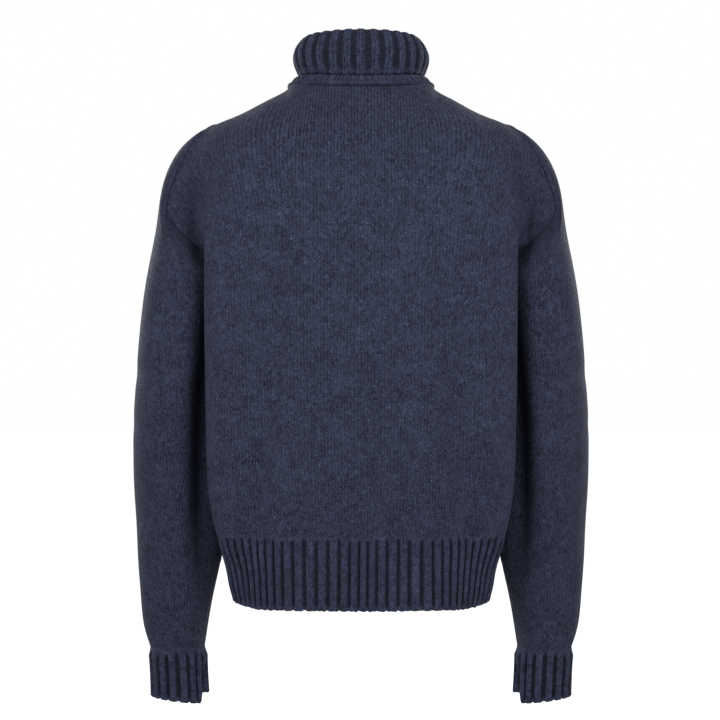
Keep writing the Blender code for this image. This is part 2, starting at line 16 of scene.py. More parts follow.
import bpy
import numpy as np
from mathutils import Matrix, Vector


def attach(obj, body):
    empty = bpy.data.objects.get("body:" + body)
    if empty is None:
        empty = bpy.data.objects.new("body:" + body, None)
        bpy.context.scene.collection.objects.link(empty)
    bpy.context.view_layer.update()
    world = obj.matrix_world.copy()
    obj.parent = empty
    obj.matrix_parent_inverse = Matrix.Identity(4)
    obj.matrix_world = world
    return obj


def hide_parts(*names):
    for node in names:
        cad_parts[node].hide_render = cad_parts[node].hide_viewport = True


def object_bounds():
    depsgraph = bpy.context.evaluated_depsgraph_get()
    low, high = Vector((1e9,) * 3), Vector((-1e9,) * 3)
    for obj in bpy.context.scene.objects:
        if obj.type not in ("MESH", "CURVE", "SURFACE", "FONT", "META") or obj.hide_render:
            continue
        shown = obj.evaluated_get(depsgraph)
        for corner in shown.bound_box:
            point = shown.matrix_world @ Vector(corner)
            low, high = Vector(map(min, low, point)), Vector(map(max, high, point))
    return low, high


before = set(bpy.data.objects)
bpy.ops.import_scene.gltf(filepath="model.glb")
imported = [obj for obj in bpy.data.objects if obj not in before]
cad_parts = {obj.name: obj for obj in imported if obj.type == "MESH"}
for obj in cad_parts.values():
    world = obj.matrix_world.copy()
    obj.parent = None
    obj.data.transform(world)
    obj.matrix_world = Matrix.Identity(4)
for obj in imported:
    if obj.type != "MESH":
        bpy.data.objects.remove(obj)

cad_box = [list(corner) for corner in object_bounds()]
log = logging.getLogger("turtleneck_sweater")

# ---- sizes of the cloth, metres ---------------------------------------------------
WALL = 0.0028            # plain knit
RIB_BASE = 0.0020        # rib knit in its grooves
SEAM_GAP = 0.0001        # between two pieces, closed by the nap of the yarn
WALE = 0.0039            # width of one column of stitches
COURSE = 0.0030          # height of one row of stitches

# ---- the worn form, in the same sizes as the solids ---------------------------------
HEM_TOP = -0.531
HEM_BOTTOM = -0.6155
CHEST = -0.106           # above this height the panels close over the shoulders
ARMPIT = -0.218
SIDE_Y = -0.006          # plane of the side seams
FRONT_DEPTH = 1.06       # front depth over back depth
FRONT_EDGE_INSET = 0.011

NECK_HALF_WIDTH = 0.0865
NECK_HALF_DEPTH = 0.0760
NECK_CENTRE_Y = 0.0
NECK_BACK_Z = -0.002
NECK_SIDE_RISE = 0.006
NECK_FRONT_DROP = 0.040
NECK_FRONT_POWER = 3.2   # the power on that drop: the higher, the later it begins
NECK_SHARE = 10 / 26     # the part of the panel's upper edge that is neckline
SHOULDER_X = 0.172       # where the armhole seam crosses the shoulder
SHOULDER_Z = -0.0456
SHOULDER_Y = -0.002
SHOULDER_SAG = 0.82      # the power on the shoulder seam's slope, 1 for a straight one
CROWN_LIFT = (0.026, 0.0, 0.028)   # how far the sleeve's top stands out over the shoulder
CROWN_PULLS = (0.33, 0.36)         # reach of its curve's two handles, as shares of its span
CUFF_TOP = -0.6735

# The body's level section as an ellipse, towards whose axis the folds are pressed.
BODY_HALF_WIDTH = 0.19
BODY_HALF_DEPTH = 0.125
BODY_CENTRE_Y = -0.008

# Over the chest the panel rounds off like part of an ellipse: degrees that it turns
# under the neck and under the shoulder, the share of the half width at which it turns
# most, and the power with which its columns draw in.
CAP_TURNS = (48.0, 88.0)
CAP_TURNS_BY = 0.55
CAP_DRAW = 1.05

# Sections of the back from the hem to the chest. Depths are measured back from the
# plane of the side seams: at the centre back, at the rounded side edge, in the fold
# beside the arm, and on the side seam or, above the armpit, the armhole seam.
# The knots are the six points' places from the centre, 0, to the seam, 1, and the bow's
# shares are the places of the second and third, of the way to the side edge.
SECTION_KNOTS = (0.0, 0.327, 0.60, 0.753, 0.867, 1.0)
SECTION_BOW = (0.47, 0.84)
SECTION_COLUMNS = ("height", "centre", "edge_x", "edge", "fold_x", "fold", "seam_x", "seam")
SECTIONS = (
    (-0.614, 0.108, 0.1495, 0.058, 0.1420, 0.026, 0.1320, 0.0),
    (-0.597, 0.110, 0.1525, 0.060, 0.1440, 0.028, 0.1335, 0.0),
    (-0.578, 0.112, 0.1550, 0.062, 0.1465, 0.030, 0.1360, 0.0),
    (-0.531, 0.117, 0.1700, 0.067, 0.1565, 0.034, 0.1420, 0.0),
    (-0.485, 0.120, 0.1785, 0.070, 0.1620, 0.037, 0.1450, 0.0),
    (-0.410, 0.123, 0.1820, 0.073, 0.1635, 0.040, 0.1460, 0.0),
    (-0.320, 0.127, 0.1832, 0.076, 0.1640, 0.042, 0.1465, 0.0),
    (-0.250, 0.130, 0.1836, 0.079, 0.1655, 0.045, 0.1490, 0.0),
    (-0.218, 0.131, 0.1838, 0.081, 0.1690, 0.049, 0.1585, 0.0),
    (-0.197, 0.132, 0.1838, 0.083, 0.1780, 0.056, 0.1845, 0.036),
    (-0.177, 0.132, 0.1830, 0.085, 0.1880, 0.064, 0.2120, 0.053),
    (-0.155, 0.131, 0.1800, 0.089, 0.2020, 0.072, 0.2280, 0.059),
    (-0.130, 0.130, 0.1740, 0.093, 0.2020, 0.077, 0.2255, 0.060),
    (-0.106, 0.127, 0.1660, 0.096, 0.1940, 0.080, 0.2165, 0.059),
)

# Sleeve rings from just under the armpit to the cuff: the outermost and innermost
# point of each, which tilts it, its half depth and the depth of its centre.
RING_COLUMNS = ("outer_x", "outer_z", "inner_x", "inner_z", "half_depth", "centre_y")
ARM_RINGS = (
    (0.2495, -0.186, 0.1630, -0.240, 0.0695, -0.008),
    (0.2567, -0.228, 0.1625, -0.270, 0.0690, -0.009),
    (0.2655, -0.290, 0.1622, -0.312, 0.0675, -0.012),
    (0.2712, -0.355, 0.1625, -0.362, 0.0650, -0.016),
    (0.2735, -0.420, 0.1630, -0.420, 0.0635, -0.021),
    (0.2728, -0.490, 0.1640, -0.490, 0.0610, -0.027),
    (0.2708, -0.550, 0.1665, -0.550, 0.0575, -0.033),
    (0.2685, -0.604, 0.1775, -0.604, 0.0525, -0.039),
    (0.2645, -0.645, 0.1858, -0.645, 0.0465, -0.043),
    (0.2565, -0.6735, 0.1905, -0.6735, 0.0405, -0.046),
)
CUFF_RINGS = (
    (0.2565, -0.6735, 0.1905, -0.6735, 0.0405, -0.046),
    (0.2545, -0.697, 0.1898, -0.702, 0.0390, -0.048),
    (0.2535, -0.7320, 0.1885, -0.7385, 0.0380, -0.051),
)
RING_SQUARENESS = 0.96   # the power on the ring's sine and cosine

# How the armhole's points spread round the arm: share of the way down the armhole
# seam, and share of the half turn from outward to inward on the first ring. By this
# share of the sleeve's length the columns are spread evenly.
SPREAD_EVEN_BY = 0.8
SPREAD_COLUMNS = ("seam", "turn")
SPREAD = ((0.00, 0.000), (0.25, 0.085), (0.50, 0.190), (0.70, 0.310),
          (0.80, 0.440), (0.90, 0.690), (1.00, 1.000))

# How the hem's ribs lie from its centre to a side seam, as shares of their number and
# of the length: they are pressed together where the hem rounds the side.
HEM_COLUMNS = ("ribs", "length")
HEM_SPREAD = ((0.000, 0.000), (0.111, 0.120), (0.289, 0.360), (0.385, 0.460), (0.755, 0.725),
              (1.000, 1.000))

# The folded collar's middle line, from the neckline up, over the fold and down
# outside: how far it lies from the neckline's ellipse, its height, and how much lower
# it lies at the centre back and at the sides, where the fold's top slopes down.
COLLAR_COLUMNS = ("reach", "height", "back_dip", "side_dip")
COLLAR_LINE = (
    (-0.0012, 0.0014, 0.0, 0.0), (-0.0095, 0.0088, 0.0, 0.0),
    (-0.0190, 0.0130, 0.0, 0.0), (-0.0235, 0.0240, 0.0, 0.0010),
    (-0.0242, 0.0420, 0.0, 0.0040), (-0.0238, 0.0565, 0.0, 0.0072),
    (-0.0200, 0.0630, 0.0, 0.0086), (-0.0152, 0.0588, 0.0, 0.0080),
    (-0.0084, 0.0400, 0.0, 0.0036), (-0.0100, 0.0275, 0.001, 0.0010),
    (-0.0150, 0.0165, 0.002, 0.0),
)


class Side(Enum):
    """The wearer's left and right, with the sign of X on that side."""

    LEFT = 1.0
    RIGHT = -1.0


class Half(Enum):
    """The back and the front half of the body."""

    BACK = "back"
    FRONT = "front"


# ---- curves and grids ---------------------------------------------------------------
def named(columns: tuple[str, ...], rows: tuple) -> dict[str, np.ndarray]:
    """Reads a table's columns as arrays.

    Args:
        columns: The columns' names.
        rows: The table's rows.

    Returns:
        Each column's values by its name.
    """
    return dict(zip(columns, np.array(rows, dtype=float).T))


def smooth_through(knots: np.ndarray, values: np.ndarray, at: np.ndarray) -> np.ndarray:
    """Runs a natural cubic spline through the values at the knots.

    The second slopes at the knots solve one small linear system, and each span is the
    cubic that has the values and second slopes of its two ends.

    Args:
        knots: Rising places, one for each row of values.
        values: Numbers or points at the knots.
        at: Places at which the spline is read.

    Returns:
        The values at those places.
    """
    knots, values = np.asarray(knots, float), np.asarray(values, float)
    flat = values.reshape(len(knots), -1)
    steps = np.diff(knots)
    slopes = np.diff(flat, axis=0) / steps[:, None]
    matrix, target = np.eye(len(knots)), np.zeros_like(flat)
    for i in range(1, len(knots) - 1):
        matrix[i, i - 1:i + 2] = steps[i - 1], 2 * (steps[i - 1] + steps[i]), steps[i]
        target[i] = 6 * (slopes[i] - slopes[i - 1])
    bend = np.linalg.solve(matrix, target)
    at = np.asarray(at, float)
    k = np.clip(np.searchsorted(knots, at) - 1, 0, len(knots) - 2)
    h, a = steps[k][:, None], (at - knots[k])[:, None]
    b = h - a
    read = ((bend[k] * b ** 3 + bend[k + 1] * a ** 3) / (6 * h)
            + (flat[k] / h - bend[k] * h / 6) * b + (flat[k + 1] / h - bend[k + 1] * h / 6) * a)
    return read.reshape(at.shape + values.shape[1:])


def unit(vectors: np.ndarray) -> np.ndarray:
    """Returns the vectors at length one."""
    return vectors / np.maximum(np.linalg.norm(vectors, axis=-1, keepdims=True), 1e-12)


def ease(low: float, high: float, at: np.ndarray) -> np.ndarray:
    """Returns the smooth step 3t^2 - 2t^3, which is 0 up to low and 1 from high on."""
    t = np.clip((np.asarray(at, float) - low) / (high - low), 0.0, 1.0)
    return t * t * (3 - 2 * t)


def run_length(grid: np.ndarray, axis: int) -> np.ndarray:
    """Measures the length along the grid's lines.

    Args:
        grid: Points in rows and columns.
        axis: 0 to go up the columns, 1 to go along the rows.

    Returns:
        The distance from the first point of each line, in rows and columns.
    """
    steps = np.linalg.norm(np.diff(grid, axis=axis), axis=-1)
    start = np.zeros_like(np.take(steps, [0], axis=axis))
    return np.cumsum(np.concatenate((start, steps), axis=axis), axis=axis)


def grid_normals(grid: np.ndarray, outward: float, closed: bool = False) -> np.ndarray:
    """Takes the cross product of the slopes along the rows and up the columns.

    Args:
        grid: Points in rows and columns.
        outward: +1 or -1, the sign that makes the normals look out.
        closed: True where the rows are closed loops.

    Returns:
        Unit normals in rows and columns.
    """
    if closed:
        across = np.roll(grid, -1, axis=1) - np.roll(grid, 1, axis=1)
    else:
        across = np.gradient(grid, axis=1)
    return unit(np.cross(across, np.gradient(grid, axis=0))) * outward


def level(normals: np.ndarray) -> np.ndarray:
    """Returns the normals turned level."""
    return unit(normals * np.array((1.0, 1.0, 0.0)))


WAVE_POWER = 0.7         # a wave's height goes with its length to this power
WAVE_SUM = 0.9           # share of the squared heights' sum that counts as the height


@dataclass(frozen=True)
class Unevenness:
    """A soft unevenness: plane waves of seeded directions, lengths and phases.

    waves is how many are added, and height what their sum is multiplied by. The
    wavelengths are in the points' own unit.
    """

    seed: int
    waves: int
    longest: float
    shortest: float
    height: float = 1.0

    def at(self, points: np.ndarray) -> np.ndarray:
        """Adds up the waves.

        Args:
            points: Points, with their coordinates on the last axis.

        Returns:
            A number for each point, mostly between minus and plus the height.
        """
        draw = np.random.default_rng(self.seed)
        heading = unit(draw.normal(size=(self.waves, points.shape[-1])))
        length = self.longest * (self.shortest / self.longest) ** draw.uniform(size=self.waves)
        phase = draw.uniform(0, 2 * math.pi, self.waves)
        turns = points @ (heading * (2 * math.pi / length)[:, None]).T + phase
        weight = (length / self.longest) ** WAVE_POWER
        whole = np.sqrt((weight ** 2).sum() * WAVE_SUM)
        return (np.sin(turns) * weight).sum(-1) / whole * self.height


# ---- the body's and the sleeves' forms ------------------------------------------------
class PushFrom(Enum):
    """What a fold is pressed towards: the middle of the body, or the middle of the arm."""

    BODY = "body"
    ARM = "arm"


FOLD_POINTS = 9          # points of a fold's line
FOLD_END = 0.25          # what is left of its depth at its ends, as a share
FOLD_FADE = 0.6          # the power on its fading: under 1, it keeps its depth for longer
FOLD_BLEND = 0.003       # metres to each side of the line over which its width changes


@dataclass(frozen=True)
class Fold:
    """A soft trough, or a ridge where its depth is below zero, along a bent line.

    start, middle and end are points of its line in metres and width is its half width.
    inner is how many times as wide it is on its side towards the sweater's centre line.
    Each fold has its mirror image on the other side.
    """

    start: tuple[float, float, float]
    middle: tuple[float, float, float]
    end: tuple[float, float, float]
    width: float
    depth: float
    push: PushFrom = PushFrom.BODY
    inner: float = 1.0

    def sink(self, points: np.ndarray, side: Side) -> np.ndarray:
        """Gives the depth of the fold at each point.

        The line is cut into short spans. The depth falls off as the bell curve of the
        distance to the nearest span, and it fades towards the line's two ends.

        Args:
            points: Points with their coordinates on the last axis.
            side: The side of the sweater on which the fold lies.

        Returns:
            The depth at each point in metres.
        """
        turned = np.array((side.value, 1.0, 1.0))
        line = smooth_through(np.array((0.0, 0.5, 1.0)),
                              np.array((self.start, self.middle, self.end)) * turned,
                              np.linspace(0.0, 1.0, FOLD_POINTS))
        near = np.full(points.shape[:-1], np.inf)
        place, outward = np.zeros(points.shape[:-1]), np.zeros(points.shape[:-1])
        for k, (a, b) in enumerate(zip(line[:-1], line[1:])):
            run = b - a
            share = np.clip(((points - a) @ run) / (run @ run), 0.0, 1.0)
            offset = points - a - share[..., None] * run
            apart = np.linalg.norm(offset, axis=-1)
            closer = apart < near
            outward = np.where(closer, offset[..., 0] * side.value, outward)
            near = np.where(closer, apart, near)
            place = np.where(closer, (k + share) / (len(line) - 1), place)
        fade = FOLD_END + (1 - FOLD_END) * np.sin(math.pi * place) ** FOLD_FADE
        inward = 1 - ease(-FOLD_BLEND, FOLD_BLEND, outward)
        width = self.width * (1 + (self.inner - 1) * inward)
        return self.depth * fade * np.exp(-(near / width) ** 2)


@dataclass
class WornForm:
    """The sweater's outer surface as worn: the two panels and the left sleeve's shape.

    The counts are the divisions between seams, several times those of the solids.
    """

    neck_columns: int = 30       # from the centre to the neck's side
    shoulder_columns: int = 70   # from there to the armhole, closer together towards it
    cap_rows: int = 40
    yoke_rows: int = 36
    body_rows: int = 76
    crown_rows: int = 30
    arm_rows: int = 126
    gathered: float = 0.6        # how strongly the shoulder's columns gather, 0 to 1
    ring_step: float = 0.04      # share of the sleeve from which its first slope is read
    crown_power: float = 1.5     # how strongly the crown's rows gather at the armhole
    rough: Unevenness = Unevenness(seed=11, waves=26, longest=0.140, shortest=0.040,
                                   height=0.0009)
    rough_climb: float = 0.55    # under 1, the unevenness is longer upright than level
    to_arm_from: float = 0.075   # distances inward of the arm's line, in metres, between
    to_arm_by: float = 0.025     # which the unevenness turns from the body's to the arm's
    folds: tuple[Fold, ...] = ()

    def across(self) -> np.ndarray:
        """Gives the columns' places, -1 to 1, gathered towards the armholes."""
        out = np.linspace(0.0, 1.0, self.shoulder_columns + 1)[1:]
        out = (1 - self.gathered) * out + self.gathered * (1 - (1 - out) ** 2)
        half = np.concatenate((np.linspace(0.0, NECK_SHARE, self.neck_columns + 1),
                               NECK_SHARE + (1 - NECK_SHARE) * out))
        return np.concatenate((-half[:0:-1], half))

    def columns_to_shoulder(self) -> int:
        """Counts the columns from the right armhole to the left end of the neckline."""
        return self.shoulder_columns + 2 * self.neck_columns

    def section_points(self, heights: np.ndarray, half: Half) -> np.ndarray:
        """Places the control points of level sections, left seam to right seam.

        From the centre to the side edge the depth follows a quarter ellipse; the fold
        beside the arm and the seam come from the table.
        """
        table = named(SECTION_COLUMNS, SECTIONS)
        row = {name: smooth_through(table["height"], values, heights)
               for name, values in table.items() if name != "height"}
        inset = FRONT_EDGE_INSET if half is Half.FRONT else 0.0
        edge_x, fold_x = row["edge_x"] - inset, row["fold_x"] - inset
        near, far = SECTION_BOW
        bowed = [row["edge"] + (row["centre"] - row["edge"]) * math.sqrt(1 - share ** 2)
                 for share in SECTION_BOW]
        half_x = np.stack((0 * edge_x, near * edge_x, far * edge_x, edge_x, fold_x,
                           row["seam_x"]), axis=1)
        half_d = np.stack((row["centre"], *bowed, row["edge"], row["fold"], row["seam"]), axis=1)
        x = np.concatenate((-half_x[:, :0:-1], half_x), axis=1)
        depth = np.concatenate((half_d[:, :0:-1], half_d), axis=1)
        y = SIDE_Y - depth * FRONT_DEPTH if half is Half.FRONT else SIDE_Y + depth
        z = np.broadcast_to(np.asarray(heights, float)[:, None], x.shape)
        return np.stack((x, y, z), axis=2)

    def section_curves(self, heights: np.ndarray, across: np.ndarray, half: Half) -> np.ndarray:
        """Reads level sections as splines at `across`, from -1 (right seam) to 1 (left seam)."""
        side = np.array(SECTION_KNOTS)
        knots = np.concatenate((-side[:0:-1], side))
        points = self.section_points(heights, half)
        return np.swapaxes(smooth_through(knots, np.swapaxes(points, 0, 1), across), 0, 1)

    def panel_top(self, across: np.ndarray, half: Half) -> np.ndarray:
        """Gives the panel's upper edge: half the neckline, and the shoulder seams beside it."""
        share = np.abs(across) / NECK_SHARE
        turn = np.minimum(share, 1.0) * math.pi / 2
        neck, _ = neckline(math.pi - turn if half is Half.FRONT else turn)
        end, _ = neckline(np.array(math.pi / 2))
        out = np.clip((np.abs(across) - NECK_SHARE) / (1 - NECK_SHARE), 0.0, 1.0)
        seam = np.stack((end[0] + (SHOULDER_X - end[0]) * out,
                         end[1] + (SHOULDER_Y - end[1]) * out,
                         end[2] + (SHOULDER_Z - end[2]) * out ** SHOULDER_SAG), axis=-1)
        top = np.where(share[:, None] > 1.0, seam, neck)
        top[:, 0] = np.abs(top[:, 0]) * np.sign(across)
        return top

    def panel_cap(self, across: np.ndarray, turns: np.ndarray, half: Half) -> np.ndarray:
        """Rounds the panel from the chest to its upper edge like part of an ellipse."""
        chest = self.section_curves(np.array((CHEST,)), across, half)[0]
        top = self.panel_top(across, half)
        least, most = CAP_TURNS
        angle = np.radians(least + (most - least) * ease(0.0, CAP_TURNS_BY, np.abs(across)))
        step = turns[:, None] * angle
        rise = np.sin(step) / np.sin(angle)
        close = (1 - np.cos(step)) / (1 - np.cos(angle))
        x = chest[:, 0] + (top[:, 0] - chest[:, 0]) * turns[:, None] ** CAP_DRAW
        y = chest[:, 1] + (top[:, 1] - chest[:, 1]) * close
        z = chest[:, 2] + (top[:, 2] - chest[:, 2]) * rise
        return np.stack((x, y, z), axis=2)

    def panel(self, half: Half) -> np.ndarray:
        """Gives a panel's outer surface in rows, from the hem's top to the neckline."""
        across = self.across()
        heights = np.concatenate((np.linspace(HEM_TOP, ARMPIT, self.body_rows + 1),
                                  np.linspace(ARMPIT, CHEST, self.yoke_rows + 1)[1:]))
        cap = self.panel_cap(across, np.linspace(0.0, 1.0, self.cap_rows + 1)[1:], half)
        return np.concatenate((self.section_curves(heights, across, half), cap), axis=0)

    def sleeve_turns(self, shares: np.ndarray) -> np.ndarray:
        """Gives each sleeve column's angle, as the armhole spreads it and evening out."""
        half = self.yoke_rows + self.cap_rows
        # The solid's armhole has as many rows in its yoke as in its cap.
        place = np.concatenate((np.linspace(0.0, 0.5, self.cap_rows + 1),
                                np.linspace(0.5, 1.0, self.yoke_rows + 1)[1:]))
        table = named(SPREAD_COLUMNS, SPREAD)
        gathered = smooth_through(table["seam"], table["turn"], place)
        even = ease(0.0, SPREAD_EVEN_BY, shares)[:, None]
        back = math.pi * ((1 - even) * gathered + even * np.linspace(0.0, 1.0, half + 1))
        return np.concatenate((back, 2 * math.pi - back[:, -2:0:-1]), axis=1)

    def crown(self, armhole: np.ndarray, first: np.ndarray, second: np.ndarray,
              turn: np.ndarray, shares: np.ndarray) -> np.ndarray:
        """Carries a Bezier curve from each point of the armhole to the arm's first ring."""
        over = ((1 + np.cos(turn)) / 2)[:, None] ** 3
        apart = first - armhole
        start_pull = CROWN_PULLS[0] * apart + over * np.array(CROWN_LIFT)
        span = np.linalg.norm(apart, axis=1, keepdims=True)
        end_pull = unit(first - second) * CROWN_PULLS[1] * span
        a, b = shares[:, None, None], 1 - shares[:, None, None]
        return (b ** 3 * armhole + 3 * b * b * a * (armhole + start_pull)
                + 3 * b * a * a * (first + end_pull) + a ** 3 * first)

    def sleeve(self, back: np.ndarray, front: np.ndarray) -> np.ndarray:
        """Gives the left sleeve's outer surface in rings, from the armhole to the cuff."""
        back_seam, front_seam = back[self.body_rows:, -1], front[self.body_rows:, -1]
        armhole = np.concatenate((back_seam[::-1], front_seam[1:-1]), axis=0)
        shares = np.linspace(0.0, 1.0, self.arm_rows + 1)
        arm = rings(ARM_RINGS, self.sleeve_turns(shares), shares)
        start = np.array((0.0, self.ring_step))
        turns = self.sleeve_turns(start)
        near = rings(ARM_RINGS, turns, start)
        top = self.crown(armhole, near[0], near[1], turns[0],
                         np.linspace(0.0, 1.0, self.crown_rows + 1)[:-1] ** self.crown_power)
        return np.concatenate((top, arm), axis=0)

    def pressed(self, points: np.ndarray) -> np.ndarray:
        """Presses the folds and a faint unevenness into the points.

        Body folds move points towards the body's upright axis, as on an ellipse, and
        arm folds towards the arm's. Both depend on the place alone, so pieces that
        meet at a seam still meet there.
        """
        x, y = points[..., 0], points[..., 1]
        to_body = unit(np.stack((x / BODY_HALF_WIDTH ** 2,
                                 (y - BODY_CENTRE_Y) / BODY_HALF_DEPTH ** 2, 0 * x), axis=-1))
        arm = named(RING_COLUMNS, ARM_RINGS)
        heights = (arm["outer_z"] + arm["inner_z"]) / 2
        order = np.argsort(heights)
        arm_x, arm_y = (np.interp(points[..., 2], heights[order], values[order]) for values in
                        ((arm["outer_x"] + arm["inner_x"]) / 2, arm["centre_y"]))
        to_arm = unit(np.stack((x - np.sign(x) * arm_x, y - arm_y, 0 * x), axis=-1))
        moved = points.copy()
        for fold in self.folds:
            way = to_arm if fold.push is PushFrom.ARM else to_body
            for side in Side:
                moved -= way * fold.sink(points, side)[..., None]
        rough = self.rough.at(points * np.array((1.0, 1.0, self.rough_climb)))
        inward = arm_x - np.abs(x)
        middle = (self.to_arm_from + self.to_arm_by) / 2
        away = np.where((inward < middle)[..., None], to_arm, to_body)
        blend = 1 - ease(self.to_arm_by, self.to_arm_from, inward)[..., None]
        return moved + unit((1 - blend) * to_body + blend * away) * rough[..., None]


def neckline(turn: np.ndarray) -> tuple[np.ndarray, np.ndarray]:
    """Follows the neckline: an ellipse that rises at the sides and drops in front.

    Args:
        turn: Angles from the centre back, in radians.

    Returns:
        The points, and their level normals.
    """
    x = NECK_HALF_WIDTH * np.sin(turn)
    y = NECK_CENTRE_Y + NECK_HALF_DEPTH * np.cos(turn)
    z = NECK_BACK_Z + NECK_SIDE_RISE * np.sin(turn) ** 2
    z = z - NECK_FRONT_DROP * ((1 - np.cos(turn)) / 2) ** NECK_FRONT_POWER
    normal = unit(np.stack((NECK_HALF_DEPTH * np.sin(turn),
                            NECK_HALF_WIDTH * np.cos(turn), 0 * turn), axis=-1))
    return np.stack((x, y, z), axis=-1), normal


def rings(table_rows: tuple, turn: np.ndarray, shares: np.ndarray) -> np.ndarray:
    """Places tilted rings, each a squared-off ellipse between an outer and an inner point.

    Args:
        table_rows: Rows of RING_COLUMNS.
        turn: Angles round the ring, outward 0 and back a quarter turn, for all rings
            or one row of them for each ring.
        shares: Places of the rings from the table's first row, 0, to its last, 1.

    Returns:
        Points in rings.
    """
    table = named(RING_COLUMNS, table_rows)
    outer = np.stack((table["outer_x"], 0 * table["outer_x"], table["outer_z"]), axis=1)
    inner = np.stack((table["inner_x"], 0 * table["inner_x"], table["inner_z"]), axis=1)
    sizes = np.concatenate((outer, inner, table["half_depth"][:, None],
                            table["centre_y"][:, None]), axis=1)
    read = smooth_through(np.linspace(0.0, 1.0, len(table_rows)), sizes, shares)[:, None, :]
    turn = np.atleast_2d(turn)[..., None]
    cos, sin = (np.sign(part) * np.abs(part) ** RING_SQUARENESS
                for part in (np.cos(turn), np.sin(turn)))
    middle, swing = (read[..., 0:3] + read[..., 3:6]) / 2, (read[..., 0:3] - read[..., 3:6]) / 2
    points = middle + swing * cos
    points[..., 1] += (read[..., 7:8] + read[..., 6:7] * sin)[..., 0]
    return points


# ---- shells -------------------------------------------------------------------------
RIM_STEPS = 5            # points round a rolled rim, an odd number
SHARP_ANGLE = 70.0       # degrees past which an edge is shaded as a corner


@dataclass
class Shell:
    """One closed wall of cloth between an outer and an inner grid, with rolled rims.

    The points are loops that run up the outside, round the upper rim, down the inside
    and round the lower rim. An open wall's two ends are capped. `along` and `up` are
    the cloth's own coordinates in metres, read by the knit; a closed wall has one more
    column of them than of points. `rib` is how far each point stands on a rib, 0 to 1;
    the rib knit paints shade where it is low, and the collar lowers it where painted
    shadow lies.
    A rim with a roll of 0 is cut square, where the cloth runs on in the next piece.
    """

    outer: np.ndarray
    inner: np.ndarray
    along: np.ndarray
    up: np.ndarray
    rib: np.ndarray
    closed: bool = False
    lower_roll: float = 0.0
    upper_roll: float = 0.0

    def rim(self, row: int, beside: int, roll: float) -> np.ndarray:
        """Turns a half circle, flattened by `roll`, from the outer rim to the inner one."""
        middle = (self.outer[row] + self.inner[row]) / 2
        half = (self.outer[row] - self.inner[row]) / 2
        beyond = unit(self.outer[row] - self.outer[beside])
        thick = np.linalg.norm(half, axis=-1, keepdims=True)
        angle = np.linspace(0.0, math.pi, RIM_STEPS + 2)[1:-1, None, None]
        return middle + half * np.cos(angle) + beyond * thick * np.sin(angle) * roll

    def mesh(self, name: str) -> bpy.types.Mesh:
        """Joins the loops into quads and writes the cloth coordinates and the rib share.

        Args:
            name: The mesh's name.

        Returns:
            The closed mesh with its faces looking out.
        """
        rows, columns = self.outer.shape[:2]
        upper = self.rim(-1, -2, self.upper_roll)
        lower = self.rim(0, 1, self.lower_roll)[::-1]
        grid = np.concatenate((self.outer, upper, self.inner[::-1], lower))
        loops = len(grid)
        order = np.concatenate((np.arange(rows), np.full(RIM_STEPS, rows - 1),
                                np.arange(rows)[::-1], np.zeros(RIM_STEPS, int)))
        past = np.zeros(loops)
        past[rows:rows + RIM_STEPS] = np.linspace(0.0, WALL, RIM_STEPS)
        past[-RIM_STEPS:] = -np.linspace(0.0, WALL, RIM_STEPS)[::-1]
        uv = np.stack((self.along[order], self.up[order] + past[:, None]), axis=-1)

        wrap = columns if self.closed else columns - 1
        i, j = np.meshgrid(np.arange(loops), np.arange(wrap), indexing="ij")
        below = (i + 1) % loops
        corners = ((i, j), (i, j + 1), (below, j + 1), (below, j))
        quads = np.stack([r * columns + c % columns for r, c in corners], -1).reshape(-1, 4)
        quad_uv = np.stack([uv[r, c] for r, c in corners], axis=-2).reshape(-1, 4, 2)
        points, flat_uv = grid.reshape(-1, 3), uv.reshape(-1, 2)
        a, b, c, d = (points[quads[:, k]] for k in range(4))
        turn = np.cross(b - a, c - a) + np.cross(c - a, d - a)
        flip = -1 if np.einsum("ij,ij->i", a, turn).sum() < 0 else 1
        faces, face_uv = [quads[:, ::flip]], [quad_uv[:, ::flip]]
        if not self.closed:
            for column, step in ((0, 1), (columns - 1, -1)):
                for cap in self.end_cap(rows, loops):
                    cap = (cap * columns + column)[:, ::step * flip]
                    faces.append(cap)
                    face_uv.append(flat_uv[cap])

        mesh = bpy.data.meshes.new(name)
        mesh.from_pydata(points.tolist(), [], [face for part in faces for face in part.tolist()])
        layer = mesh.uv_layers.new(name="cloth")
        corner_uv = np.concatenate([part.reshape(-1, 2) for part in face_uv])
        layer.data.foreach_set("uv", corner_uv.reshape(-1).astype(np.float32))
        share = mesh.attributes.new("rib", "FLOAT", "POINT")
        share.data.foreach_set("value", self.rib[order].reshape(-1).astype(np.float32))
        mesh.shade_smooth()
        mesh.set_sharp_from_angle(angle=math.radians(SHARP_ANGLE))
        return mesh

    @staticmethod
    def end_cap(rows: int, loops: int) -> tuple[np.ndarray, np.ndarray]:
        """Pairs the loops of an open end, outside with inside.

        Both rims have an odd number of points, so each rim's middle point closes its
        end of the strip of quads with one triangle.

        Args:
            rows: Rows of the outer grid.
            loops: Loops of the whole shell.

        Returns:
            The loops that meet in each quad, and those of the two triangles.
        """
        start, count = loops - RIM_STEPS // 2 - 1, rows + RIM_STEPS
        near = (start + np.arange(count + 1)) % loops
        far = (start - np.arange(count + 1)) % loops
        quads = np.stack((near[1:-2], near[2:-1], far[2:-1], far[1:-2]), axis=-1)
        ends = np.array(((near[0], near[1], far[1]), (near[-2], near[-1], far[-2])))
        return quads, ends


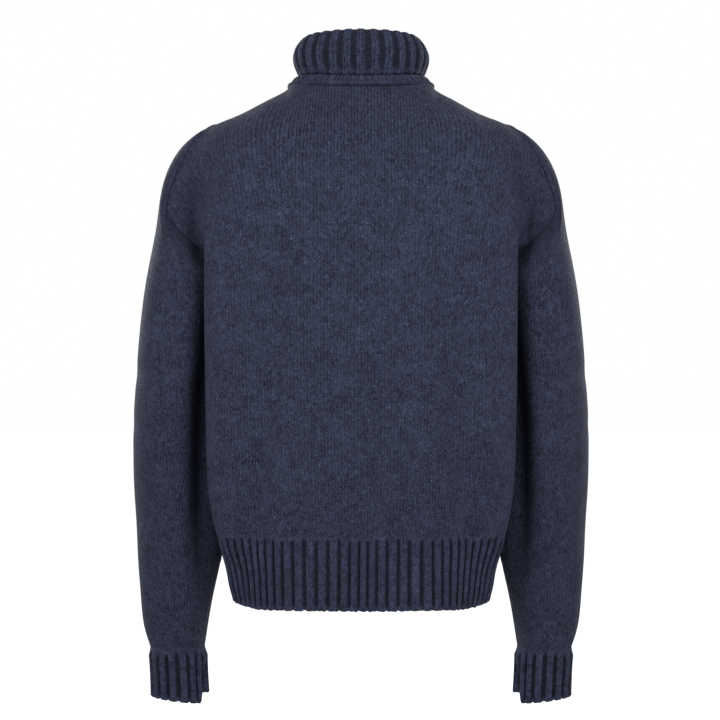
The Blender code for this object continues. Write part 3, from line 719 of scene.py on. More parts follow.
def hang(name: str, shell: Shell, finish: bpy.types.Material) -> bpy.types.Object:
    """Makes the shell's object, in its own place, standing for the solid of its name.

    Args:
        name: The solid's name, which the piece takes with "_cloth" after it.
        shell: The wall of cloth.
        finish: The material.

    Returns:
        The piece.
    """
    mesh = shell.mesh(name + "_cloth")
    mesh.materials.append(finish)
    piece = bpy.data.objects.new(name + "_cloth", mesh)
    bpy.context.scene.collection.objects.link(piece)
    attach(piece, "root")
    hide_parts(name)
    log.info("%s: %d faces", piece.name, len(mesh.polygons))
    return piece


# ---- finishes -------------------------------------------------------------------------
def linear(hex_colour: str) -> tuple[float, float, float, float]:
    """Turns an sRGB hex colour to linear light.

    Args:
        hex_colour: Six hex digits after a hash.

    Returns:
        Red, green, blue and a full alpha.
    """
    parts = [int(hex_colour[k:k + 2], 16) / 255 for k in (1, 3, 5)]
    light = [c / 12.92 if c <= 0.04045 else ((c + 0.055) / 1.055) ** 2.4 for c in parts]
    return (*light, 1.0)


def add_node(tree: bpy.types.NodeTree, kind: str, settings: dict | None = None,
             links: dict | None = None, output: int | str = 0) -> bpy.types.NodeSocket:
    """Adds one node with its settings and its inputs.

    Args:
        tree: The material's nodes.
        kind: The node's type without "ShaderNode".
        settings: The node's own properties by name.
        links: For each input's name or number, a value or another node's output.
        output: The name or number of the output that is wanted.

    Returns:
        That output; the node itself where it has none.
    """
    made = tree.nodes.new("ShaderNode" + kind)
    for key, value in (settings or {}).items():
        setattr(made, key, value)
    for key, value in (links or {}).items():
        if isinstance(value, bpy.types.NodeSocket):
            tree.links.new(value, made.inputs[key])
        else:
            made.inputs[key].default_value = value
    return made.outputs[output] if made.outputs else made


def maths(tree: bpy.types.NodeTree, operation: str,
          *values: float | bpy.types.NodeSocket) -> bpy.types.NodeSocket:
    """Adds one sum of values and other nodes' outputs."""
    return add_node(tree, "Math", {"operation": operation}, dict(enumerate(values)))


def ramp(tree: bpy.types.NodeTree, value: bpy.types.NodeSocket, start: tuple[float, float],
         end: tuple[float, float], eased: bool = False) -> bpy.types.NodeSocket:
    """Carries a value from the range `start` to the range `end`, and stops at its ends."""
    shape = {"interpolation_type": "SMOOTHSTEP"} if eased else None
    return add_node(tree, "MapRange", shape,
                    {0: value, 1: start[0], 2: start[1], 3: end[0], 4: end[1]})


def noise(tree: bpy.types.NodeTree, place: bpy.types.NodeSocket, scale: float, detail: float,
          roughness: float = 0.5) -> bpy.types.NodeSocket:
    """Adds a noise with `scale` waves to the metre, its detail in octaves."""
    return add_node(tree, "TexNoise", None, {
        "Vector": place, "Scale": scale, "Detail": detail, "Roughness": roughness})


def mix(tree: bpy.types.NodeTree, share: float | bpy.types.NodeSocket,
        first: float | bpy.types.NodeSocket, second: bpy.types.NodeSocket) -> bpy.types.NodeSocket:
    """Mixes two numbers: the first where the share is 0, the second where it is 1."""
    return add_node(tree, "Mix", {"data_type": "FLOAT"}, {0: share, 2: first, 3: second})


def mix_colours(tree: bpy.types.NodeTree, share: bpy.types.NodeSocket,
                first: tuple | bpy.types.NodeSocket, second: tuple) -> bpy.types.NodeSocket:
    """Mixes two colours: the first where the share is 0, the second where it is 1."""
    colour_output = 2
    return add_node(tree, "Mix", {"data_type": "RGBA"}, {0: share, 6: first, 7: second},
                    colour_output)


@dataclass(frozen=True)
class WoolKnit:
    """A heathered navy wool yarn, carded and softly spun, knitted on a coarse gauge.

    The nap hides most stitches, so the eye gets a matt cloth, mottled from fibres dyed
    unlike each other, with fine upright lines of painted shade between the columns of
    stitches, and few pale flecks. The grooves of a rib show the stitches' backs, with
    painted shade.

    A pair of numbers is a range: where something starts and ends, or its values there.
    Places across a column of stitches run from 0 at its border to 0.5 at its middle.
    """

    name: str
    slot: str                # the record's material slot
    dark: str                # the darkest blotches
    light: str               # the lightest blotches
    gap_shade: str                 # painted shade between the stitches, where the yarn lies deep
    fleck: str               # single pale fibres
    # The patches of mixed fibres: clouds, the blotches in them, and tufts of fibres. Each
    # has its size in metres, its noise's octaves and its share in the mottle.
    patches: tuple[tuple[float, float, float], ...] = (
        (0.0260, 2.0, 0.18), (0.0062, 2.5, 0.34), (0.0015, 2.0, 0.48))
    patch_roughness: float = 0.6
    spread: float = 0.085    # how near the mean the darkest and lightest patches lie
    fleck_waves: float = 560.0       # to the metre
    fleck_from: tuple[float, float] = (0.60, 0.76)   # levels of noise at which flecks show
    fleck_share: float = 0.60
    relief: float = 0.0013   # height of a stitch over the ground, metres
    relief_strength: float = 0.85
    slant: float = 1.3       # how many rows a loop climbs over the width of a column
    back_slant: float = 0.9  # the same of the loops' backs, in a groove
    loop_depth: float = 0.60         # how far a strand sinks between two loops
    border: tuple[float, float] = (0.0, 0.26)    # where the ground lies between columns
    border_height: tuple[float, float] = (0.04, 1.0)
    middle: tuple[float, float] = (0.36, 0.50)   # where the two strands of one column meet
    middle_height: tuple[float, float] = (1.0, 0.70)
    back_height: float = 0.45        # mean height of the loops' backs, and their swing
    back_swing: float = 0.40
    own_share: float = 0.42  # how much of the mottle is each stitch's own
    gap_shade_share: float = 0.95  # how much of the painted shade in the gaps shows
    gap_shade_heights: tuple[float, float] = (0.08, 0.78)  # heights of the stitches between which the painted gap shade fades, deep and shallow
    least_gap_shade: float = 0.40  # how much of the painted gap shade shows beside the palest stitches, as a share
    hidden: float = 0.15     # what the nap leaves of the painted shade in the gaps where it hides them most,
    bare: float = 0.90       # and where it hides them least
    nap_patch: float = 0.014         # size of the patches where it does, metres
    nap_levels: tuple[float, float] = (0.38, 0.64)
    clear_heights: tuple[float, float] = (-0.20, -0.05)  # where the columns' painted gap shade comes out of the nap
    wander: float = 0.0020   # how far the columns stray, metres,
    wander_waves: float = 130.0      # and how often to the metre
    groove_shade_share: float = 0.0        # how much painted shade lies in a rib's groove
    groove_shade_rise: tuple[float, float] = (0.05, 0.85)
    nap_waves: float = 420.0         # the nap's own tooth, to the metre
    nap_height: float = 0.0012
    nap_strength: float = 0.6
    fibre_roughness: float = 0.7
    roughness: float = 0.95
    specular: float = 0.06
    sheen: float = 0.05
    sheen_roughness: float = 0.5
    sheen_tint: str = "#8d93b4"
    ribbed: bool = False

    def stitches(self, tree: bpy.types.NodeTree) -> tuple[bpy.types.NodeSocket, ...]:
        """Draws the height of the stitches, 0 to 1, from the cloth's own coordinates.

        Each column of stitches is two strands side by side with a shallow line between
        them, and the ground is deepest between columns. The strands' loops slant up and
        outwards once per row: a sine of the height up the cloth plus the distance from
        the column's edge.
        In the grooves of a rib the loops show their backs instead: a wave across the
        groove that bends up to its sides.

        Args:
            tree: The material's nodes.

        Returns:
            The height, and a value of its own for each side of each stitch.
        """
        cloth = add_node(tree, "UVMap", {"uv_map": "cloth"})
        wander = maths(tree, "MULTIPLY_ADD", noise(tree, cloth, self.wander_waves, 1.0),
                       self.wander, -self.wander / 2)
        column = maths(tree, "DIVIDE", maths(tree, "ADD", add_node(
            tree, "SeparateXYZ", None, {0: cloth}, "X"), wander), WALE)
        row = maths(tree, "DIVIDE", add_node(tree, "SeparateXYZ", None, {0: cloth}, "Y"), COURSE)
        apart = maths(tree, "PINGPONG", column, 0.5)
        slanted = maths(tree, "MULTIPLY_ADD", apart, self.slant, row)
        loops = maths(tree, "ABSOLUTE", maths(tree, "SINE", maths(
            tree, "MULTIPLY", slanted, math.pi)))
        loops = maths(tree, "MULTIPLY_ADD", loops, self.loop_depth, 1 - self.loop_depth)
        border = ramp(tree, apart, self.border, self.border_height, eased=True)
        middle = ramp(tree, apart, self.middle, self.middle_height, eased=True)
        face = maths(tree, "MULTIPLY", maths(tree, "MULTIPLY", middle, loops), border)
        strand = add_node(tree, "CombineXYZ", None, {
            0: maths(tree, "FLOOR", maths(tree, "MULTIPLY", column, 2.0)),
            1: maths(tree, "FLOOR", slanted)})
        own = add_node(tree, "TexWhiteNoise", {"noise_dimensions": "2D"}, {"Vector": strand},
                       "Value")
        if not self.ribbed:
            return face, own
        arc = maths(tree, "MULTIPLY", maths(
            tree, "MULTIPLY_ADD", apart, self.back_slant, row), 2 * math.pi)
        back = maths(tree, "MULTIPLY_ADD", maths(tree, "SINE", arc), self.back_swing,
                     self.back_height)
        return mix(tree, self.rib(tree), back, face), own

    @staticmethod
    def rib(tree: bpy.types.NodeTree) -> bpy.types.NodeSocket:
        """Reads the rib share, 0 in a groove and where painted shadow lies, 1 on top."""
        return add_node(tree, "Attribute", {"attribute_name": "rib"}, None, "Fac")

    def mottle(self, tree: bpy.types.NodeTree,
               place: bpy.types.NodeSocket) -> bpy.types.NodeSocket:
        """Adds up clouds, blotches and tufts, and spreads their sum over 0 to 1."""
        total: float | bpy.types.NodeSocket = 0.0
        for size, detail, share in self.patches:
            patch = noise(tree, place, 1 / size, detail, self.patch_roughness)
            total = maths(tree, "MULTIPLY_ADD", patch, share, total)
        return ramp(tree, total, (0.5 - self.spread, 0.5 + self.spread), (0.0, 1.0))

    def showing(self, tree: bpy.types.NodeTree,
                place: bpy.types.NodeSocket) -> bpy.types.NodeSocket:
        """Gives how much of the painted gap shade the nap leaves: by patches, and more by the neck.
        """
        patch = noise(tree, place, 1 / self.nap_patch, 2.0)
        left = ramp(tree, patch, self.nap_levels, (self.hidden, self.bare))
        up = add_node(tree, "SeparateXYZ", None, {0: place}, "Z")
        clear = ramp(tree, up, self.clear_heights, (0.0, 1.0))
        return maths(tree, "MAXIMUM", left, clear)

    def colour(self, tree: bpy.types.NodeTree, place: bpy.types.NodeSocket,
               height: bpy.types.NodeSocket, own: bpy.types.NodeSocket) -> bpy.types.NodeSocket:
        """Mixes the yarn's colour: mottle, flecks, and painted shade in the gaps and grooves.

        Args:
            tree: The material's nodes.
            place: The point in the piece's own space.
            height: The height of the stitches, 0 to 1.
            own: Each stitch's own value.

        Returns:
            The colour.
        """
        tone = mix(tree, self.own_share, self.mottle(tree, place), own)
        yarn = mix_colours(tree, tone, linear(self.dark), linear(self.light))
        hairs = noise(tree, place, self.fleck_waves, 2.0, self.fibre_roughness)
        bright = ramp(tree, hairs, self.fleck_from, (0.0, self.fleck_share))
        yarn = mix_colours(tree, bright, yarn, linear(self.fleck))
        # painted shade in the gaps: the colour darkens towards the gap colour where the stitches
        # are low
        shade = ramp(tree, height, self.gap_shade_heights, (self.gap_shade_share, 0.0))
        uneven = ramp(tree, own, (0.0, 1.0), (1.0, self.least_gap_shade))
        shade = maths(tree, "MULTIPLY", shade, maths(
            tree, "MULTIPLY", self.showing(tree, place), uneven))
        if self.ribbed:
            # painted shade in a rib's grooves, where the rib share is low
            groove = ramp(tree, self.rib(tree), self.groove_shade_rise, (self.groove_shade_share, 0.0))
            shade = maths(tree, "MAXIMUM", shade, groove)
        return mix_colours(tree, shade, yarn, linear(self.gap_shade))

    def material(self) -> bpy.types.Material:
        """Builds the yarn's colour, nap and stitches.

        Returns:
            The material, which reads the piece's cloth coordinates and its object's place.
        """
        made = bpy.data.materials.new(self.name)
        made.use_nodes = True
        tree = made.node_tree
        tree.nodes.clear()
        place = add_node(tree, "TexCoord", None, None, "Object")
        height, own = self.stitches(tree)
        nap = noise(tree, place, self.nap_waves, 4.0, self.fibre_roughness)
        nap_bump = add_node(tree, "Bump", None, {
            "Strength": self.nap_strength, "Distance": self.nap_height, "Height": nap})
        knit_bump = add_node(tree, "Bump", None, {
            "Strength": self.relief_strength, "Distance": self.relief, "Height": height,
            "Normal": nap_bump})
        shader = add_node(tree, "BsdfPrincipled", None, {
            "Base Color": self.colour(tree, place, height, own), "Normal": knit_bump,
            "Roughness": self.roughness, "Specular IOR Level": self.specular,
            "Sheen Weight": self.sheen, "Sheen Roughness": self.sheen_roughness,
            "Sheen Tint": linear(self.sheen_tint)})
        add_node(tree, "OutputMaterial", None, {"Surface": shader})
        return made


# The gap colours are painted shade between the stitches; the rib's groove share is painted shade in
# its grooves.
PLAIN_KNIT = WoolKnit("navy_wool_jersey", "plain_knit", dark="#0f121b", light="#282b3b",
                      gap_shade="#05060a", fleck="#545b78")
RIB_KNIT = WoolKnit("navy_wool_rib", "rib_knit", dark="#11141e", light="#2d3042",
                    gap_shade="#040509", fleck="#545b78", groove_shade_share=0.78, ribbed=True)


# ---- the garment's parts ----------------------------------------------------------------
@dataclass(frozen=True)
class RibStitch:
    """A rib: raised columns of stitches between grooves of sunken ones."""

    rise: float              # height of a rib over its groove, metres
    groove: float            # width of a groove, as a share of the period
    slope: float             # width of its side, as a share of the period
    wales: int               # columns of stitches in a period
    jitter: float            # how uneven the widths are, as a share
    stagger: float           # how unevenly the grooves begin, metres
    seed: int
    shut: float = 0.30       # what is left of a groove's width at its pointed end
    crown: float = 0.14      # how much lower a rib's shoulders are than its middle
    sway: float = 0.35       # how far a rib strays on its way down, of the jitter
    sway_across: float = 0.4         # how soon it does: turns of its noise to the rib
    sway_down: float = 18.0          # and to the metre

    def phase(self, count: int, place: np.ndarray,
              height: np.ndarray) -> tuple[np.ndarray, np.ndarray]:
        """Finds the nearest groove of each point.

        Args:
            count: How many periods there are.
            place: Places across the cloth, 0 to 1.
            height: Heights up the cloth, in metres, by which the ribs sway.

        Returns:
            The distances to the nearest groove's middle, in periods, 0 to 0.5, and how
            much later than the first that groove begins, in metres.
        """
        draw = np.random.default_rng(self.seed)
        width = 1 + self.jitter * draw.uniform(-1, 1, count)
        late = self.stagger * draw.uniform(0, 1, count + 1)
        edges = np.concatenate(((0.0,), np.cumsum(width))) / width.sum() * count
        even = np.interp(place * count, np.arange(count + 1), edges)
        lean = np.stack(np.broadcast_arrays(even * self.sway_across, height * self.sway_down),
                        axis=-1)
        stray = Unevenness(self.seed + 1, waves=9, longest=6.0, shortest=1.6)
        whole = even + stray.at(lean) * self.jitter * self.sway
        nearest = np.round(whole)
        return np.abs(whole - nearest), late[np.clip(nearest.astype(int), 0, count)]

    def raised(self, away: np.ndarray, open_share: np.ndarray | float = 1.0) -> np.ndarray:
        """Gives how far each point stands on its rib: a groove with rounded shoulders.

        Args:
            away: Distances from the nearest groove's middle, in periods.
            open_share: 1 where the grooves have their full width and depth, 0 where
                they are shut, as at their pointed ends.

        Returns:
            0 in the groove, 1 on top of the rib.
        """
        groove = self.groove * (self.shut + (1 - self.shut) * np.asarray(open_share, float))
        share = np.clip((away - groove / 2 + self.slope / 2) / self.slope, 0.0, 1.0)
        crown = 1 - self.crown * ((0.5 - away) / 0.5) ** 2
        return 1 - (1 - share * share * (3 - 2 * share) * crown) * open_share

    def wall(self, shape: np.ndarray, normals: np.ndarray, raised: np.ndarray,
             grown: np.ndarray, deeper: np.ndarray | float = 1.0) -> tuple[np.ndarray, ...]:
        """Builds the ribs on the plain cloth's inner face.

        The wall grows from the plain knit's to the rib's, and each groove sinks in it.

        Args:
            shape: The plain cloth's outer points.
            normals: Their normals.
            raised: How far each point stands on its rib, 0 to 1.
            grown: How far the plain knit has turned to rib, 0 to 1.
            deeper: What the grooves' depth is multiplied by.

        Returns:
            The outer and the inner points.
        """
        thick = WALL * (1 - grown) + (RIB_BASE + self.rise) * grown
        thick = thick - (1 - raised) * self.rise * deeper
        inner = shape - normals * WALL
        return inner + normals * np.maximum(thick, RIB_BASE / 2)[..., None], inner

    def along_cloth(self, place: np.ndarray, count: int) -> np.ndarray:
        """Gives the cloth's own coordinate across `count` periods, from places 0 to 1."""
        return place * count * self.wales * WALE + WALE / 2


@dataclass
class SeamRelief:
    """The relief of the seams between the knitted pieces."""

    ditch: float = 0.0011        # the seam line itself, sunk between the two pieces
    ditch_width: float = 0.0008
    ridge: float = 0.0014        # the turned-in edge of the body beside an armhole
    ridge_from: float = 0.0026
    ridge_width: float = 0.0014
    puff: float = 0.0005         # the sleeve's cloth, eased in beside the seam
    puff_from: float = 0.0090
    puff_width: float = 0.0055
    link_ditch: float = 0.0022   # under the row of loops that holds the collar
    link_width: float = 0.0024

    def sunk(self, away: np.ndarray) -> np.ndarray:
        """Gives the ditch's depth as a bell curve of the distance from the seam."""
        return -self.ditch * np.exp(-(away / self.ditch_width) ** 2)

    def body_side(self, away: np.ndarray) -> np.ndarray:
        """Gives the relief on the body's side of an armhole: the ditch, then the ridge."""
        ridge = self.ridge * np.exp(-((away - self.ridge_from) / self.ridge_width) ** 2)
        return self.sunk(away) + ridge * ease(0.0, self.ditch_width, away)

    def sleeve_side(self, away: np.ndarray) -> np.ndarray:
        """Gives the relief on the sleeve's side: the ditch, then the eased-in cloth."""
        puff = self.puff * np.exp(-((away - self.puff_from) / self.puff_width) ** 2)
        return self.sunk(away) + puff * ease(0.0, self.ditch_width, away)


@dataclass
class PlainCloth:
    """The plain knitted parts: the two panels and the two sleeves, joined at their seams."""

    form: WornForm
    seams: SeamRelief = field(default_factory=SeamRelief)
    panel_flat: tuple[float, float] = (0.560, 0.600)     # the panel's cut, width and length
    panel_area: float = 0.270
    fan: float = 0.22            # how far the stitches spread out towards the shoulders,
    fan_out: tuple[float, float] = (0.15, 0.75)    # between these shares of the half width,
    fan_rows: int = 20           # and from how many rows under the armpit on
    gather_rows: int = 14        # rows to each side of the armpit where the stitches gather
    gather_up: float = 0.75      # how far the rows of stitches stay level below it
    ridge_rows: int = 4          # rows to each side of the armpit where the ridge begins
    neck_margin: tuple[float, float] = (-0.01, 0.03)   # beside the neck, where its ditch ends
    shoulder_depth: float = 0.5  # of the shoulder's ditch, as a share of the armhole's
    under_depth: float = 0.6     # of the ditch along the sleeve's own seam
    under_rows: float = 6.0      # rows over which that ditch begins
    sleeve_flat: tuple[float, float] = (0.440, 0.560)
    sleeve_area: float = 0.205

    def joined_normals(self, back: np.ndarray, front: np.ndarray,
                       sleeve: np.ndarray) -> tuple[np.ndarray, ...]:
        """Works out the normals, and evens them out along each seam the pieces share.

        Args:
            back: The back's points.
            front: The front's points.
            sleeve: The left sleeve's points.

        Returns:
            The normals of the back, of the front and of the sleeve.
        """
        form = self.form
        back_n, front_n = grid_normals(back, -1.0), grid_normals(front, 1.0)
        sleeve_n = grid_normals(sleeve, -1.0, closed=True)
        rows, half = form.body_rows, form.yoke_rows + form.cap_rows
        side = unit(back_n[:rows + 1, -1] + front_n[:rows + 1, -1])
        arm_back = unit(back_n[rows:, -1] + sleeve_n[0, :half + 1][::-1])
        arm_front = unit(front_n[rows:, -1] + np.roll(sleeve_n[0], -half, axis=0)[:half + 1])
        first = form.columns_to_shoulder()
        shoulder = unit(back_n[-1, first:] + front_n[-1, first:])
        side[-1] = arm_back[0] = arm_front[0] = unit(side[-1] + arm_back[0] + arm_front[0])
        shoulder[-1] = arm_back[-1] = arm_front[-1] = unit(
            shoulder[-1] + arm_back[-1] + arm_front[-1])
        mirror = np.array((-1.0, 1.0, 1.0))
        across = form.across()
        turn = np.clip(across / NECK_SHARE, -1.0, 1.0) * math.pi / 2
        neck = slice(len(across) - 1 - first, first + 1)
        for normals, arm, turns in ((back_n, arm_back, turn), (front_n, arm_front, math.pi - turn)):
            normals[:rows + 1, -1] = side
            normals[rows:, -1] = arm
            normals[-1, first:] = shoulder
            normals[:, 0] = normals[:, -1] * mirror
            normals[-1, :len(across) - first] = shoulder[::-1] * mirror
            normals[-1, neck] = neckline(turns[neck])[1]
            normals[0] = level(normals[0])
        sleeve_n[0] = np.concatenate((arm_back[::-1], arm_front[1:-1]))
        sleeve_n[-1] = level(sleeve_n[-1])
        return back_n, front_n, sleeve_n

    def panel_relief(self, grid: np.ndarray) -> np.ndarray:
        """Gives how far the seams raise or sink a panel's points: its sides and its top."""
        form, seams = self.form, self.seams
        run = run_length(grid, 1)
        away = np.minimum(run, run[:, -1:] - run)
        rows = form.body_rows
        armhole = ease(rows - self.ridge_rows, rows + self.ridge_rows,
                       np.arange(len(grid)))[:, None]
        relief = seams.body_side(away) * armhole + seams.sunk(away) * (1 - armhole)
        climb = run_length(grid, 0)
        from_top = climb[-1:] - climb
        inner, outer = (NECK_SHARE + margin for margin in self.neck_margin)
        beside_neck = ease(inner, outer, np.abs(form.across()))[None, :]
        relief = relief + self.shoulder_depth * seams.sunk(from_top) * beside_neck
        below_link = seams.link_ditch * np.exp(-(from_top / seams.link_width) ** 2)
        return relief - below_link * (1 - beside_neck)

    def surfaces(self) -> dict[str, tuple[np.ndarray, np.ndarray]]:
        """Works out the outer grids and normals, alike along each seam they share.

        Returns:
            For "back", "front" and "sleeve" (the left one) its points and its normals.
        """
        form = self.form
        back, front = form.panel(Half.BACK), form.panel(Half.FRONT)
        sleeve = form.sleeve(back, front)
        back, front, sleeve = (form.pressed(grid) for grid in (back, front, sleeve))
        back[0, :, 2] = front[0, :, 2] = HEM_TOP
        sleeve[-1, :, 2] = CUFF_TOP
        back_n, front_n, sleeve_n = self.joined_normals(back, front, sleeve)
        back = back + back_n * self.panel_relief(back)[..., None]
        front = front + front_n * self.panel_relief(front)[..., None]
        away = run_length(sleeve, 0)
        sleeve = sleeve + sleeve_n * self.seams.sleeve_side(away)[..., None]

        rows, first = form.body_rows, form.columns_to_shoulder()
        last = back.shape[1] - first
        front[:rows + 1, -1] = back[:rows + 1, -1]
        front[:rows + 1, 0] = back[:rows + 1, 0]
        front[-1, first:] = back[-1, first:]
        front[-1, :last] = back[-1, :last]
        sleeve[0] = np.concatenate((back[rows:, -1][::-1], front[rows:, -1][1:-1]))
        return {"back": (back, back_n), "front": (front, front_n), "sleeve": (sleeve, sleeve_n)}

    def panel(self, name: str, grid: np.ndarray, normals: np.ndarray,
              finish: bpy.types.Material) -> bpy.types.Object:
        """Hangs one panel.

        Its columns of stitches run upright: below the armpit they gather with the cloth
        towards the hem, and above it they keep their width and end at the seams.
        """
        form = self.form
        run = run_length(grid, 1)
        middle = grid.shape[1] // 2
        signed = run - run[:, middle:middle + 1]
        full = signed[form.body_rows]
        row = np.arange(len(grid))[:, None]
        gather = 1 - ease(form.body_rows - self.gather_rows, form.body_rows + self.gather_rows, row)
        fan = ease(form.body_rows - self.fan_rows, len(grid), row)
        fan = 1 - self.fan * fan * ease(*self.fan_out, np.abs(form.across()))
        along = (signed * (1 - gather) + gather * full[None, :]) * fan
        up = run_length(grid, 0)
        level_share = self.gather_up * gather
        up = up * (1 - level_share) + level_share * up[:, middle:middle + 1]
        outer = grid.copy()
        outer[:, -1] = pulled(grid[:, -1], grid[:, -2])
        outer[:, 0] = pulled(grid[:, 0], grid[:, 1])
        shell = Shell(outer, outer - normals * WALL, along, up, np.ones(grid.shape[:2]))
        piece = hang(name, shell, finish)
        return piece

    def sleeve(self, name: str, grid: np.ndarray, normals: np.ndarray, side: Side,
               finish: bpy.types.Material) -> bpy.types.Object:
        """Hangs one sleeve.

        The grid starts under the arm, where the sleeve's own seam ends the columns of
        stitches on both sides; from its outward line they keep their width.
        """
        half = grid.shape[1] // 2
        grid, normals = np.roll(grid, -half, axis=1), np.roll(normals, -half, axis=1)
        looped = np.concatenate((grid, grid[:, :1]), axis=1)
        run = run_length(looped, 1)
        along = run - run[:, half:half + 1]
        climb = run_length(looped, 0)
        up = climb[-1:] - climb
        under = np.minimum(run, run[:, -1:] - run)[:, :-1]
        begun = ease(0.0, self.under_rows, np.arange(len(grid)))[:, None, None]
        grid = grid + normals * (self.under_depth * self.seams.sunk(under))[..., None] * begun
        outer = grid.copy()
        outer[0] = pulled(grid[0], grid[1])
        turned = np.array((side.value, 1.0, 1.0))
        shell = Shell(outer * turned, (outer - normals * WALL) * turned, along, up,
                      np.ones(grid.shape[:2]), closed=True)
        piece = hang(name, shell, finish)
        return piece

    def build(self, finish: bpy.types.Material) -> list[bpy.types.Object]:
        """Hangs the back, the front and both sleeves."""
        made = self.surfaces()
        return [self.panel("back", *made["back"], finish),
                self.panel("front", *made["front"], finish),
                self.sleeve("sleeve_left", *made["sleeve"], Side.LEFT, finish),
                self.sleeve("sleeve_right", *made["sleeve"], Side.RIGHT, finish)]


def pulled(edge: np.ndarray, inside: np.ndarray) -> np.ndarray:
    """Moves an edge's points half the seam's gap towards the piece's own next points."""
    return edge + unit(inside - edge) * SEAM_GAP / 2


@dataclass
class HemHalf:
    """Half of the ribbed hem, knitted on to a panel and seamed to the other half."""

    half: Half
    ribs: int = 45
    columns_per_rib: int = 13
    rows: int = 40
    reading: int = 961           # points at which a level section is read
    row_power: float = 1.15      # how strongly the rows gather at the top
    spare_at: tuple[float, float] = (0.30, 0.90)     # shares of the way to the side seam
    side_at: tuple[float, float] = (0.50, 0.85)      # where spare length goes, where the
    corner_at: tuple[float, float] = (0.42, 0.92)    # grooves grow, and the edge rises
    side_groove: float = 0.80    # how much wider the grooves are at the side seams,
    side_depth: float = 0.3      # and how much deeper
    swell: float = 0.016         # height over which the ribs rise out of the plain knit
    notch: float = 0.005         # length of a groove's pointed upper end
    spread: float = 0.005        # height over which the ribs spread at the cast-off edge
    edge_open: float = 0.45      # how open the grooves still are there
    scallop: float = 0.0005      # how much lower the ribs end than the grooves
    corner_rise: float = 0.0095  # how much higher the edge hangs at the side seams
    rise_height: float = 0.035   # how far up both reach
    edge: Unevenness = Unevenness(seed=23, waves=12, longest=0.0060, shortest=0.0028,
                                  height=0.0004)
    edge_height: float = 0.004   # how far up the edge's own unevenness reaches
    flat: tuple[float, float] = (0.450, 0.087)
    stitch: RibStitch = RibStitch(rise=0.0034, groove=0.34, slope=0.18, wales=4,
                                  jitter=0.08, stagger=0.003, seed=21)

    def shape(self, form: WornForm, place: np.ndarray, heights: np.ndarray) -> np.ndarray:
        """Spaces the columns along each level section, and presses them.

        The ribs run straight down from the back's middle; what a section is longer
        than the lower edge goes between the ribs at the sides.
        """
        table = named(HEM_COLUMNS, HEM_SPREAD)
        out = 2 * place - 1
        out = np.sign(out) * smooth_through(table["ribs"], table["length"], np.abs(out))
        spare = np.sign(out) * ease(*self.spare_at, np.abs(2 * place - 1))
        fine = np.linspace(-1.0, 1.0, self.reading)
        curves = form.section_curves(heights, fine, self.half)
        run = run_length(curves, 1)
        least = run[-1, -1] / 2 - SEAM_GAP / 2
        shape = np.empty((self.rows, len(place), 3))
        for row in range(self.rows):
            half = run[row, -1] / 2
            at = half + least * out + (half - SEAM_GAP / 2 - least) * spare
            for axis in range(3):
                shape[row, :, axis] = np.interp(at, run[row], curves[row, :, axis])
        pressed = form.pressed(shape)
        pressed[0, :, 2] = shape[0, :, 2]
        return pressed

    def build(self, form: WornForm, finish: bpy.types.Material) -> bpy.types.Object:
        """Raises the ribs over the plain inside and hangs the piece.

        Args:
            form: The worn form, which gives the level sections and the soft unevenness.
            finish: The rib knit.

        Returns:
            The hem's piece.
        """
        drop = np.linspace(0.0, 1.0, self.rows) ** self.row_power
        heights = HEM_TOP - SEAM_GAP / 2 + (HEM_BOTTOM - HEM_TOP) * drop
        place = np.linspace(0.0, 1.0, self.ribs * self.columns_per_rib + 1)
        shape = self.shape(form, place, heights)
        normals = level(grid_normals(shape, -1.0 if self.half is Half.FRONT else 1.0))
        normals[:, 0] = (-1.0, 0.0, 0.0)
        normals[:, -1] = (1.0, 0.0, 0.0)

        below = (HEM_TOP - heights)[:, None]
        above = (heights - HEM_BOTTOM)[:, None]
        outward = np.abs(2 * place - 1)[None, :]
        aside = ease(*self.side_at, outward)
        away, late = self.stitch.phase(self.ribs, place[None, :], heights[:, None])
        at_edge = self.edge_open + (1 - self.edge_open) * ease(0, self.spread, above)
        opened = ease(0.0, self.notch, below - late) * at_edge
        raised = self.stitch.raised(away / (1 + self.side_groove * aside), opened)
        outer, inner = self.stitch.wall(shape, normals, raised, ease(0.0, self.swell, below),
                                        1 + self.side_depth * aside)
        corner = ease(*self.corner_at, outward)
        lift = (1 - ease(0.0, self.rise_height, above)) * (
            self.corner_rise * corner - self.scallop * raised)
        lift = lift + self.edge.at(shape[-1:]) * (1 - ease(0.0, self.edge_height, above))
        outer[..., 2] += lift
        inner[..., 2] += lift
        up = np.broadcast_to(heights[:, None], raised.shape)
        along = np.broadcast_to(self.stitch.along_cloth(place, self.ribs), raised.shape)
        piece = hang("hem_" + self.half.value, Shell(
            outer[::-1], inner[::-1], along[::-1], up[::-1], raised[::-1], lower_roll=1.0), finish)
        return piece


